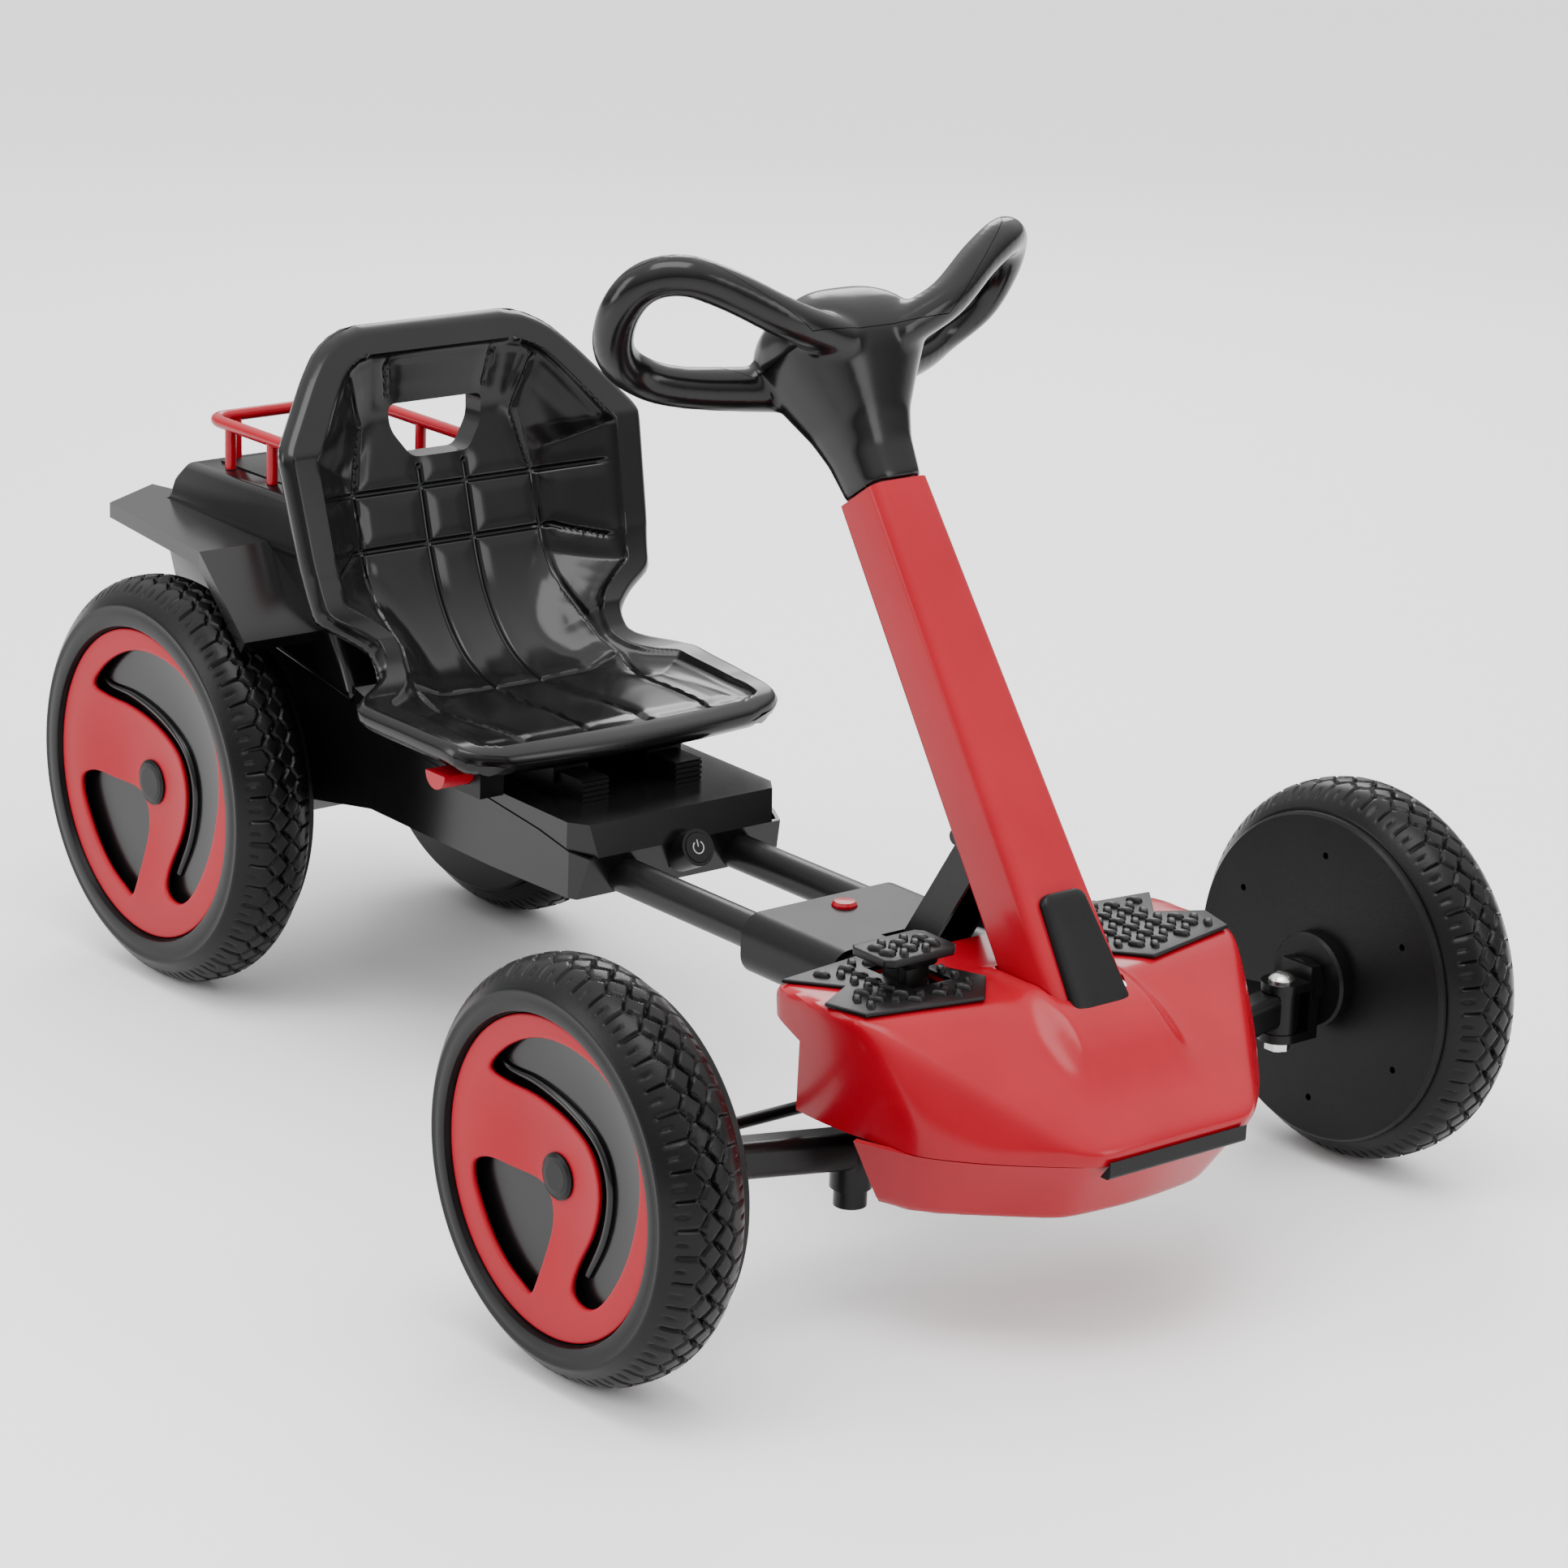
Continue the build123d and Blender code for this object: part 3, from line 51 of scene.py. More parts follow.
# ---------------------------------------------------------------- materials
def plastic(name, colour, rough, grain=0.0, grain_size=0.6, coat=0.0, metal=0.0, patch=0.06, dust=0.0,
            spec=0.5):
    """Moulded or painted surface: roughness that drifts, a fine grain and, where asked, pale dust."""
    m = bpy.data.materials.new(name)
    m.use_nodes = True
    n, links = m.node_tree.nodes, m.node_tree.links
    shader = n["Principled BSDF"]
    shader.inputs["Metallic"].default_value = metal
    shader.inputs["Coat Weight"].default_value = coat
    shader.inputs["Coat Roughness"].default_value = 0.04
    shader.inputs["Specular IOR Level"].default_value = spec
    where = n.new("ShaderNodeTexCoord")
    drift = n.new("ShaderNodeTexNoise")
    drift.inputs["Scale"].default_value = 14
    drift.inputs["Detail"].default_value = 5
    links.new(where.outputs["Object"], drift.inputs["Vector"])
    span = n.new("ShaderNodeMapRange")
    span.inputs["To Min"].default_value = max(rough - patch, 0.02)
    span.inputs["To Max"].default_value = rough + patch
    links.new(drift.outputs["Fac"], span.inputs["Value"])
    links.new(span.outputs["Result"], shader.inputs["Roughness"])
    ramp = n.new("ShaderNodeValToRGB")
    ramp.color_ramp.elements[0].position = 0.35
    ramp.color_ramp.elements[1].position = 0.75
    lift = tuple(min(c * 1.12 + 0.002 + dust, 1) for c in colour)
    ramp.color_ramp.elements[0].color = (*colour, 1)
    ramp.color_ramp.elements[1].color = (*lift, 1)
    links.new(drift.outputs["Fac"], ramp.inputs["Fac"])
    links.new(ramp.outputs["Color"], shader.inputs["Base Color"])
    if grain:
        fine = n.new("ShaderNodeTexNoise")
        fine.inputs["Scale"].default_value = 1000 / grain_size
        fine.inputs["Detail"].default_value = 3
        links.new(where.outputs["Object"], fine.inputs["Vector"])
        bump = n.new("ShaderNodeBump")
        bump.inputs["Strength"].default_value = grain
        bump.inputs["Distance"].default_value = 0.0004
        links.new(fine.outputs["Fac"], bump.inputs["Height"])
        links.new(bump.outputs["Normal"], shader.inputs["Normal"])
    return m


MAT = {
    "red": plastic("red_gloss", (0.29, 0.0005, 0.009), 0.24, 0.02, 6, coat=0.05, spec=0.22),
    "red_satin": plastic("red_satin", (0.29, 0.0005, 0.009), 0.4, 0.2, 0.9, spec=0.18),
    "rack_red": plastic("rack_red_paint", (0.30, 0.0005, 0.009), 0.25, 0.05, 2, coat=0.1, spec=0.25),
    "gloss": plastic("black_gloss", (0.002, 0.002, 0.0023), 0.19, 0.008, 7, patch=0.03, spec=0.3),
    "satin": plastic("black_satin", (0.002, 0.002, 0.0023), 0.34, 0.3, 0.8, spec=0.17),
    "matte": plastic("black_textured", (0.003, 0.003, 0.0033), 0.34, 0.4, 0.7, spec=0.24),
    "tyre": plastic("tyre_plastic", (0.002, 0.002, 0.0023), 0.33, 0.25, 1.2, dust=0.0003, spec=0.17),
    "paint": plastic("black_paint", (0.002, 0.002, 0.0023), 0.3, 0.2, 1.5, spec=0.22),
    "steel": plastic("zinc_steel", (0.56, 0.56, 0.55), 0.28, 0.15, 1.0, metal=1.0),
    "nylon": plastic("nylon", (0.72, 0.70, 0.64), 0.5, 0.2, 1.0),
    "battery": plastic("battery_case", (0.03, 0.03, 0.034), 0.5, 0.4, 1.0),
    "board": plastic("circuit_board", (0.01, 0.10, 0.04), 0.4, 0.2, 1.0),
    "icon": plastic("button_print", (0.45, 0.45, 0.46), 0.5, 0.1, 1.0),
}


# ---------------------------------------------------------------- mesh helpers
def shade(obj, angle=35):
    for poly in obj.data.polygons:
        poly.use_smooth = True
    limit = radians(angle)
    edges = bmesh.new()
    edges.from_mesh(obj.data)
    for e in edges.edges:
        e.smooth = len(e.link_faces) == 2 and e.calc_face_angle(0) < limit
    edges.to_mesh(obj.data)
    edges.free()


def rounded(obj, width, segments=3, angle=30):
    """Rounded edges, in mm, kept as a modifier."""
    mod = obj.modifiers.new("edges", "BEVEL")
    mod.width = width / 1000
    mod.segments = segments
    mod.limit_method = "ANGLE"
    mod.angle_limit = radians(angle)
    mod.harden_normals = True
    return obj


def piece(name, verts, faces, mat, body, stands_for=(), smooth=35):
    """New mesh piece in the row frame; verts in mm from the front axle."""
    mesh = bpy.data.meshes.new(name)
    mesh.from_pydata([tuple(at(*v)) for v in verts], [], faces)
    obj = bpy.data.objects.new(name, mesh)
    bpy.context.scene.collection.objects.link(obj)
    tidy = bmesh.new()
    tidy.from_mesh(mesh)
    bmesh.ops.remove_doubles(tidy, verts=tidy.verts, dist=1e-6)
    bmesh.ops.recalc_face_normals(tidy, faces=tidy.faces)
    tidy.to_mesh(mesh)
    tidy.free()
    return dress(obj, mat, body, stands_for, smooth)


def dress(obj, mat, body, stands_for=(), smooth=35):
    obj.data.materials.clear()
    obj.data.materials.append(MAT[mat])
    if smooth and obj.type == "MESH":
        shade(obj, smooth)
    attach(obj, body)
    if stands_for:
        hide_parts(*stands_for)
    return obj


def freeze(obj):
    """Applies the modifiers to the mesh."""
    bpy.context.view_layer.update()
    graph = bpy.context.evaluated_depsgraph_get()
    mesh = bpy.data.meshes.new_from_object(obj.evaluated_get(graph))
    obj.modifiers.clear()
    obj.data = mesh
    return obj


def loose(name, verts, faces):
    """Mesh object used as a tool, in mm from the front axle, not yet part of the kart."""
    mesh = bpy.data.meshes.new(name)
    mesh.from_pydata([tuple(at(*v)) for v in verts], [], faces)
    obj = bpy.data.objects.new(name, mesh)
    bpy.context.scene.collection.objects.link(obj)
    fix = bmesh.new()
    fix.from_mesh(mesh)
    bmesh.ops.recalc_face_normals(fix, faces=fix.faces)
    fix.to_mesh(mesh)
    fix.free()
    return obj


def prism(name, outline, low, high):
    """Prism over a plan outline of (x, y), or any outline with its two ends given as functions."""
    put = (low, high) if callable(low) else (lambda p: (p[0], p[1], low), lambda p: (p[0], p[1], high))
    n = len(outline)
    verts = [put[0](p) for p in outline] + [put[1](p) for p in outline]
    faces = [tuple(range(n - 1, -1, -1)), tuple(range(n, 2 * n))]
    faces += [(i, (i + 1) % n, n + (i + 1) % n, n + i) for i in range(n)]
    return loose(name, verts, faces)


def cut(obj, *tools, keep_inside=False):
    """Cuts the tools out of a piece, or keeps only what lies inside them."""
    for tool in tools:
        mod = obj.modifiers.new("cut", "BOOLEAN")
        mod.operation = "INTERSECT" if keep_inside else "DIFFERENCE"
        mod.solver = "EXACT"
        mod.object = tool
        freeze(obj)
        bpy.data.objects.remove(tool)
    return obj


def grid(rows, cols, wrap_rows=False, wrap_cols=False):
    """Quad faces over a grid of rows x cols vertices."""
    faces = []
    for i in range(rows if wrap_rows else rows - 1):
        for j in range(cols if wrap_cols else cols - 1):
            a, b = i * cols + j, i * cols + (j + 1) % cols
            c, d = ((i + 1) % rows) * cols + (j + 1) % cols, ((i + 1) % rows) * cols + j
            faces.append((a, b, c, d))
    return faces


def near_segments(p, lines):
    """Distance from points (n, 2) to the nearest of some segments."""
    best = np.full(len(p), 1e9)
    for a, b in lines:
        a, b = np.array(a, float), np.array(b, float)
        t = np.clip(((p - a) @ (b - a)) / max((b - a) @ (b - a), 1e-9), 0, 1)
        best = np.minimum(best, np.hypot(*(p - a - t[:, None] * (b - a)).T))
    return best


def ease(x):
    x = np.clip(x, 0, 1)
    return x * x * (3 - 2 * x)


# ---------------------------------------------------------------- tyres
TYRE_HALF = 33


def tyre_profile(r, ring_r, rim_r):
    """Half section of a tyre, as (across, radius) from the rim's edge over the tread to its middle."""
    crown = [(u, r - (r - ring_r) * (abs(u) / TYRE_HALF) ** 2.6) for u in np.linspace(-TYRE_HALF, 0, 30)]
    wall = [(-TYRE_HALF + 5, rim_r), (-TYRE_HALF + 0.6, rim_r + 1.2), (-TYRE_HALF, rim_r + 3),
            (-TYRE_HALF - 0.0, ring_r - 6), (-TYRE_HALF + 0.5, ring_r - 3.2), (-TYRE_HALF, ring_r - 1.5)]
    return wall + crown


def tyre(name, x, y, r, ring_r, rim_r, body):
    half = tyre_profile(r, ring_r, rim_r)
    section = np.array(half + [(-u, v) for u, v in reversed(half[:-1])])
    # extra rows across the tread so that its grooves are crisp
    dense = [section[0]]
    for a, b in zip(section[:-1], section[1:]):
        steps = max(1, int(np.hypot(*(b - a)) / 1.5)) if max(a[1], b[1]) > ring_r - 1.6 else 1
        dense += [a + (b - a) * (k + 1) / steps for k in range(steps)]
    section = np.array(dense)
    length = np.concatenate([[0], np.cumsum(np.hypot(*np.diff(section, axis=0).T))])
    across = length - length[-1] / 2
    around = int(2 * pi * r / 1.5)
    cells = int(round(2 * pi * r / 19))
    pitch = 2 * pi / cells
    theta = np.linspace(0, 2 * pi, around, endpoint=False)
    T, W = np.meshgrid(theta, across, indexing="ij")
    arc = T / pitch                                       # in cells
    tread = 1 - ease((np.abs(W) - 27) / 4)
    # large hexagons on each side, small ones beside a zigzag groove round the middle
    best = np.full(T.shape, 1e9)
    second = np.full(T.shape, 1e9)
    for across_at, shift, weight in ((-19.5, 0.0, 60), (19.5, 0.5, 60), (-5.5, 0.5, 0), (5.5, 0.0, 0)):
        dx = (arc - shift - np.round(arc - shift)) * 19
        for side in (-1, 0, 1):
            power = (dx + side * 19) ** 2 + (W - across_at) ** 2 - weight
            second = np.where(power < best, best, np.minimum(second, power))
            best = np.minimum(best, power)
    edge = (second - best) / 30
    groove = (1 - ease((edge - 0.7) / 1.1)) * (2.0 + 1.4 * (1 - ease((np.abs(W) - 3) / 2)))
    # short sipes on the shoulders
    sipe_dx = (arc * 2 - np.round(arc * 2)) * 9.5
    sipe = (1 - ease((np.abs(sipe_dx) - 0.5) / 0.9)) * (ease((np.abs(W) - 20) / 1.5)) * 1.3
    depth = np.maximum(groove, sipe) * tread
    R = section[:, 1][None, :] - depth
    U = np.repeat(section[:, 0][None, :], around, 0)
    X = x + np.cos(T) * R
    Z = r + np.sin(T) * R
    verts = np.stack([X, y + U, Z], -1).reshape(-1, 3)
    faces = grid(around, len(section), wrap_rows=True)
    # inside of the tyre
    n, cols = len(verts), len(section)
    inner_r = rim_r - 0.2
    inner = [(x + cos(t) * inner_r, y + u, r + sin(t) * inner_r) for t in theta
             for u in (-TYRE_HALF + 5, TYRE_HALF - 5)]
    faces += [(n + 2 * i, n + 2 * i + 1, n + 2 * ((i + 1) % around) + 1, n + 2 * ((i + 1) % around))
              for i in range(around)]
    for i in range(around):
        k = (i + 1) % around
        faces.append((i * cols, k * cols, n + 2 * k, n + 2 * i))
        faces.append((i * cols + cols - 1, n + 2 * i + 1, n + 2 * k + 1, k * cols + cols - 1))
    return piece(name, verts.tolist() + inner, faces, "tyre", body, (name.replace("tread_", ""),), 40)


for s, k in SIDES:
    tyre(f"tread_tyre_front_{s}", 0, k * 347.5, 139.95, 122, 107.3, f"front_wheel_{s}")
    tyre(f"tread_tyre_rear_{s}", -793, k * 159, 160.95, 141, 123.4, f"rear_wheel_{s}")

# ---------------------------------------------------------------- wheel covers
CRESCENT = [(-65, 55), (-50, 72), (-26, 86), (0, 93), (28, 93), (54, 86), (77, 69), (91, 44), (94, 16),
            (87, -16), (75, -42), (60, -63), (46, -73), (32, -73), (25, -66), (28, -50), (40, -25),
            (45, -2), (42, 16),
            (31, 30), (7, 41), (-23, 48), (-50, 50)]
WINDOW = [(-80, -14), (-66, -8), (-44, -9), (-20, -10), (-9, -17), (-5, -33), (-7, -52), (-12, -74),
          (-17, -84), (-27, -81), (-45, -72), (-61, -58), (-74, -40), (-81, -25)]
COVER_R, COVER_THICK, FACE_OUT, HUB_OUT = 106.4, 4.0, 29.0, 20.0


def closed_path(points, steps):
    """Smooth closed curve through points in a plane."""
    p = [np.array(q, float) for q in points]
    out = []
    for i in range(len(p)):
        a, b, c, d = p[i - 1], p[i], p[(i + 1) % len(p)], p[(i + 2) % len(p)]
        for t in np.linspace(0, 1, steps, endpoint=False):
            out.append(0.5 * (2 * b + (c - a) * t + (2 * a - 5 * b + 4 * c - d) * t * t
                              + (3 * b - a - 3 * c + d) * t ** 3))
    return out


def dish(r, k):
    """How far out the cover's face stands at radius r; k scales the radii."""
    return FACE_OUT - (FACE_OUT - HUB_OUT) * (1 - ease((r / k - 20) / 72))


def cover_plate(k):
    """Flat plate with its openings and rounded edges, as mesh vertices and faces."""
    curve = bpy.data.curves.new("plate", "CURVE")
    curve.dimensions = "2D"
    curve.fill_mode = "BOTH"
    curve.extrude = (COVER_THICK / 2 - 1.3) / 1000
    curve.bevel_depth = 0.0013
    curve.bevel_resolution = 3
    curve.offset = -0.0013
    circle = [(COVER_R * cos(a), COVER_R * sin(a)) for a in np.linspace(0, 2 * pi, 160, endpoint=False)]
    hub = [(12 * cos(a), 12 * sin(a)) for a in np.linspace(0, 2 * pi, 40, endpoint=False)]
    for outline in (circle, closed_path(CRESCENT, 5), closed_path(WINDOW, 5), hub):
        line = curve.splines.new("POLY")
        line.points.add(len(outline) - 1)
        line.use_cyclic_u = True
        for point, (x, y) in zip(line.points, outline):
            point.co = (x * k / 1000, y * k / 1000, 0, 1)
    obj = bpy.data.objects.new("plate", curve)
    bpy.context.scene.collection.objects.link(obj)
    graph = bpy.context.evaluated_depsgraph_get()
    flat = bpy.data.objects.new("flat", bpy.data.meshes.new_from_object(obj.evaluated_get(graph)))
    bpy.data.objects.remove(obj)
    bpy.context.scene.collection.objects.link(flat)
    fine = flat.modifiers.new("fine", "REMESH")
    fine.mode = "VOXEL"
    fine.voxel_size = 0.0009
    soft = flat.modifiers.new("soft", "SMOOTH")
    soft.iterations = 5
    freeze(flat)
    verts = np.array([v.co[:] for v in flat.data.vertices]) * 1000
    faces = [tuple(p.vertices) for p in flat.data.polygons]
    bpy.data.objects.remove(flat)
    return verts, faces


def dressed_wheel(place, x, y, r, k, side, plate):
    body = f"{place.split('_')[0]}_wheel_{place.split('_')[1]}"
    verts, faces = plate
    radius = np.hypot(verts[:, 0], verts[:, 1])
    out = dish(radius, k) - COVER_THICK / 2 + verts[:, 2]
    z = r - side * verts[:, 1]
    mesh_verts = np.stack([x + verts[:, 0], y + side * out, z], -1).tolist()
    piece(f"dished_cover_{place}", mesh_verts, faces, "red_satin", body, (f"wheel_cover_{place}",), 60)
    # black web behind the openings, with a rib along the crescent's inner edge
    profile = [(9, 13), (9, 16.2), (30, 16.8), (60, 17.2), (92, 18.6), (99, 20.6), (103, 21), (103, 13)]
    turns = 96
    verts = [(x + q * k * cos(t), y + side * u, r + q * k * sin(t))
             for t in np.linspace(0, 2 * pi, turns, endpoint=False) for q, u in profile]
    faces = grid(turns, len(profile), wrap_rows=True, wrap_cols=True)
    rib = [np.array(q, float) for q in (CRESCENT[15:] + [(-64, 58)])]
    path = []
    for q in smooth_path(rib, 8):
        q = q * (1 + 7.5 / max(np.hypot(*q), 20)) * k
        path.append((x + q[0], y + side * 17.5, r - side * q[1]))
    rib_verts, rib_faces = tube(np.array(path), np.full(len(path), 3.4), 12)
    faces += [tuple(i + len(verts) for i in f) for f in rib_faces]
    piece(f"wheel_web_{place}", verts + rib_verts, faces, "gloss", body, (), 40)


def smooth_path(points, steps=14):
    """Catmull-Rom points through a list of points."""
    p = [np.array(q, float) for q in points]
    p = [2 * p[0] - p[1]] + p + [2 * p[-1] - p[-2]]
    out = []
    for a, b, c, d in zip(p, p[1:], p[2:], p[3:]):
        for k in range(steps):
            t = k / steps
            out.append(0.5 * (2 * b + (c - a) * t + (2 * a - 5 * b + 4 * c - d) * t * t
                              + (3 * b - a - 3 * c + d) * t ** 3))
    return np.array(out + [p[-2]])


def tube(path, radius, n=24):
    """Closed tube mesh along points, with the radius given at each."""
    tangent = np.gradient(path, axis=0)
    tangent /= np.linalg.norm(tangent, axis=1)[:, None]
    side = np.cross(tangent[0], (0.3, 0.1, 1.0))
    verts = []
    for q, t, r in zip(path, tangent, radius):
        side = side - t * (side @ t)
        side /= np.linalg.norm(side)
        other = np.cross(t, side)
        for i in range(n):
            a = 2 * pi * i / n
            verts.append(q + (side * cos(a) + other * sin(a)) * r)
    faces = grid(len(path), n, wrap_cols=True)
    faces += [tuple(range(n - 1, -1, -1)), tuple((len(path) - 1) * n + i for i in range(n))]
    return [tuple(v) for v in verts], faces


for place, x, y, r, k in (("front", 0, 347.5, 140, 1.0), ("rear", -793, 159, 161, 1.15)):
    plate = cover_plate(k)
    for s, side in SIDES:
        dressed_wheel(f"{place}_{s}", x, side * y, r, k, side, plate)

# ---------------------------------------------------------------- seat
SEAT_PATH = [(-404, 261), (-412, 267), (-430, 272), (-480, 272), (-530, 270), (-556, 271), (-580, 276),
             (-602, 288), (-620, 306), (-634, 328), (-644, 352), (-656, 395), (-672, 452),
             (-690, 518), (-693, 529)]
SEAT_OUTLINE = [(-404, 261, 140), (-412, 267, 146), (-425, 272, 150), (-540, 270, 160), (-552, 271, 152),
                (-572, 274, 118), (-596, 285, 114), (-612, 298, 130), (-624, 312, 154), (-646, 360, 160),
                (-669, 443, 166), (-684, 496, 124), (-693, 529, 92)]


def seat_lengths(points):
    """Distance along the seat's path of points near it."""
    path = np.array(SEAT_PATH, float)
    run = np.concatenate([[0], np.cumsum(np.hypot(*np.diff(path, axis=0).T))])
    out = []
    for q in np.array(points, float):
        best = (1e9, 0)
        for i in range(len(path) - 1):
            a, b = path[i], path[i + 1]
            t = np.clip(((q - a) @ (b - a)) / ((b - a) @ (b - a)), 0, 1)
            away = float(np.hypot(*(a + t * (b - a) - q)))
            best = min(best, (away, float(run[i] + t * (run[i + 1] - run[i]))))
        out.append(best[1])
    return np.array(out), run, path


def spread(low, high, step, marks, near=4.0, fine=0.8):
    """Values from low to high, closer together around the marks."""
    base = list(np.arange(low, high, step)) + [high]
    for m in marks:
        base = [v for v in base if abs(v - m) > near] + list(np.arange(m - near, m + near + 0.01, fine))
    return np.array(sorted(v for v in base if low <= v <= high))


def soften(outline, reach, steps=7):
    """Outline with its corners rounded over the given reach along each edge."""
    ring, n = [], len(outline)
    for i in range(n):
        before, here, after = (np.array(outline[j % n], float) for j in (i - 1, i, i + 1))
        a = here + (before - here) * reach / np.hypot(*(before - here))
        b = here + (after - here) * reach / np.hypot(*(after - here))
        for t in np.linspace(0, 1, steps):
            ring.append(tuple((1 - t) ** 2 * a + 2 * t * (1 - t) * here + t ** 2 * b))
    return ring


def build_seat():
    mark, run, path = seat_lengths([(x, z) for x, z, w in SEAT_OUTLINE])
    total = run[-1]
    hole_low, hole_high, line_1, line_2, pan_line, top_low, bend = seat_lengths(
        [(-667, 429), (-677, 469), (-659, 406), (-648, 364), (-556, 271), (-684, 500), (-602, 288)])[0]
    s = spread(0, total, 2, (line_1, line_2, pan_line))
    fine = np.linspace(0, total, 400)
    px, pz = np.interp(fine, run, path[:, 0]), np.interp(fine, run, path[:, 1])
    for _ in range(160):
        px[1:-1] = (px[:-2] + 2 * px[1:-1] + px[2:]) / 4
        pz[1:-1] = (pz[:-2] + 2 * pz[1:-1] + pz[2:]) / 4
    width = np.interp(fine, mark, [w for *_, w in SEAT_OUTLINE])
    for _ in range(46):
        width[1:-1] = (width[:-2] + 2 * width[1:-1] + width[2:]) / 4
    ends = np.minimum(fine, total - fine)
    width -= 26 * (1 - np.sqrt(1 - np.clip(1 - ends / 22, 0, 1) ** 2))
    tx, tz = np.gradient(px), np.gradient(pz)
    size = np.hypot(tx, tz)
    nx, nz = -tz / size, tx / size
    flip = np.sign(nz[5])
    px, pz, nx, nz, width = (np.interp(s, fine, v) for v in (px, pz, nx * flip, nz * flip, width))
    rows = len(s)
    inner = 66.0
    middle = spread(-inner, inner, 3, (-45, -21, 21, 45), 4, 1.0)
    out = np.linspace(0, 1, 78)[1:]
    middle_n, out_n = len(middle), len(out)
    cols = middle_n + 2 * out_n
    Y = np.concatenate([-(inner + (width[:, None] - inner) * out[None, ::-1]),
                        np.repeat(middle[None], rows, 0),
                        inner + (width[:, None] - inner) * out[None]], 1)
    S = np.repeat(s[:, None], cols, 1)
    flat = np.stack([S.ravel(), Y.ravel()], -1)
    loop = list(zip(s, width))[::3] + [(s[-1], width[-1])]
    edge = list(zip(loop[:-1], loop[1:]))
    edge += [((a[0], -a[1]), (b[0], -b[1])) for a, b in edge]
    edge += [((s[0], -width[0]), (s[0], width[0])), ((s[-1], -width[-1]), (s[-1], width[-1]))]
    d = near_segments(flat, edge).reshape(S.shape)
    # how far the rim stands in front of the seat's face
    at_s = seat_lengths([(-404, 261), (-470, 272), (-545, 270), (-580, 276), (-602, 288), (-644, 352),
                         (-668, 440), (-684, 496), (-693, 529)])[0]
    high = np.interp(S, at_s, [5, 8, 14, 22, 34, 42, 44, 26, 15])
    band = np.interp(S, at_s, [17, 22, 24, 20, 20, 26, 27, 24, 23])
    rise = np.interp(S, at_s, [12, 22, 34, 40, 46, 58, 56, 44, 26])
    slope = np.clip((d - band) / rise, 0, 1)
    H = high * (1 - slope) ** 2 * (1 + 0.6 * slope)
    H -= 2.2 * ease((d - band) / 3) * (1 - ease((d - band - 6) / 18))
    H -= 6 * np.clip(1 - d / 7, 0, 1) ** 2                # rounded outer edge
    # moulded grooves
    outer_line = [(14, 84), (pan_line, 96), (bend, 86), (bend + 70, 84), (line_2, 84), (line_1, 83),
                  (hole_low + 26, 71), (top_low - 6, 86)]
    joints = []
    for k in (1, -1):
        joints.append(((14, k * 27), (pan_line, k * 21)))
        joints.append(((pan_line, k * 21), (hole_low - 9, k * 21)))
        joints.append(((hole_high + 8, k * 45), (total - 26, k * 49)))
        side = [(a, k * b) for a, b in outer_line]
        joints += list(zip(side, side[1:]))
        joints += [((line_1, 0), (line_1, k * 150)), ((line_2, 0), (line_2, k * 92)),
                   ((line_2, k * 92), (line_2 - 30, k * 150)), ((pan_line, 0), (pan_line + 4, k * 100)),
                   ((pan_line + 4, k * 100), (pan_line + 26, k * 122))]
    g = near_segments(flat, joints).reshape(S.shape)
    face = ease((d - band - 4) / 6)
    H -= 2.6 * (1 - ease((g - 0.6) / 2.2)) * face
    H += 1.0 * ease(g / 12) * face                        # the cells crown between the grooves
    bow = 13 * (np.abs(Y) / 150) ** 2 * np.clip(1 - S / 70, 0, 1) ** 2
    front = np.stack([px[:, None] + nx[:, None] * H - bow, Y, pz[:, None] + nz[:, None] * H], -1)
    skin = high * (1 - np.clip((d - 12) / (rise + 14), 0, 1)) ** 2 - 18.9
    under = np.where(d < 7, H - 16 * np.clip(d / 7, 0, 1) ** 0.5 - 3, np.minimum(skin, H - 14))
    rear = np.stack([px[:, None] + nx[:, None] * under - bow, Y, pz[:, None] + nz[:, None] * under], -1)
    n = rows * cols
    verts = front.reshape(-1, 3).tolist() + rear.reshape(-1, 3).tolist()
    faces = grid(rows, cols)
    faces += [tuple(n + i for i in reversed(f)) for f in grid(rows, cols)]
    rim = [i * cols for i in range(rows)] + [(rows - 1) * cols + j for j in range(1, cols)]
    rim += [i * cols + cols - 1 for i in range(rows - 2, -1, -1)] + list(range(cols - 2, 0, -1))
    faces += [(a, b, n + b, n + a) for a, b in zip(rim, rim[1:] + rim[:1])]
    obj = piece("bucket_seat", verts, faces, "gloss", "seat", ("seat_shell",), 50)
    hole = soften([(43.5, 470), (42, 450), (26, 428.5), (-26, 428.5), (-42, 450), (-43.5, 470)], 7)
    cut(obj, prism("hole", hole, lambda p: (-600, *p), lambda p: (-740, *p)))
    shade(obj, 40)
    return obj


build_seat()

TILT = radians(34.9)
U = np.array([-sin(TILT), 0, cos(TILT)])
L = np.array([-cos(TILT), 0, -sin(TILT)])
FOOT = np.array([53.0, 0, 231.0])


def steer(d, e, y):
    """Point at distance d along the steering axis, e behind it and y to the left."""
    q = FOOT + U * d + L * e
    return (q[0], y, q[2])


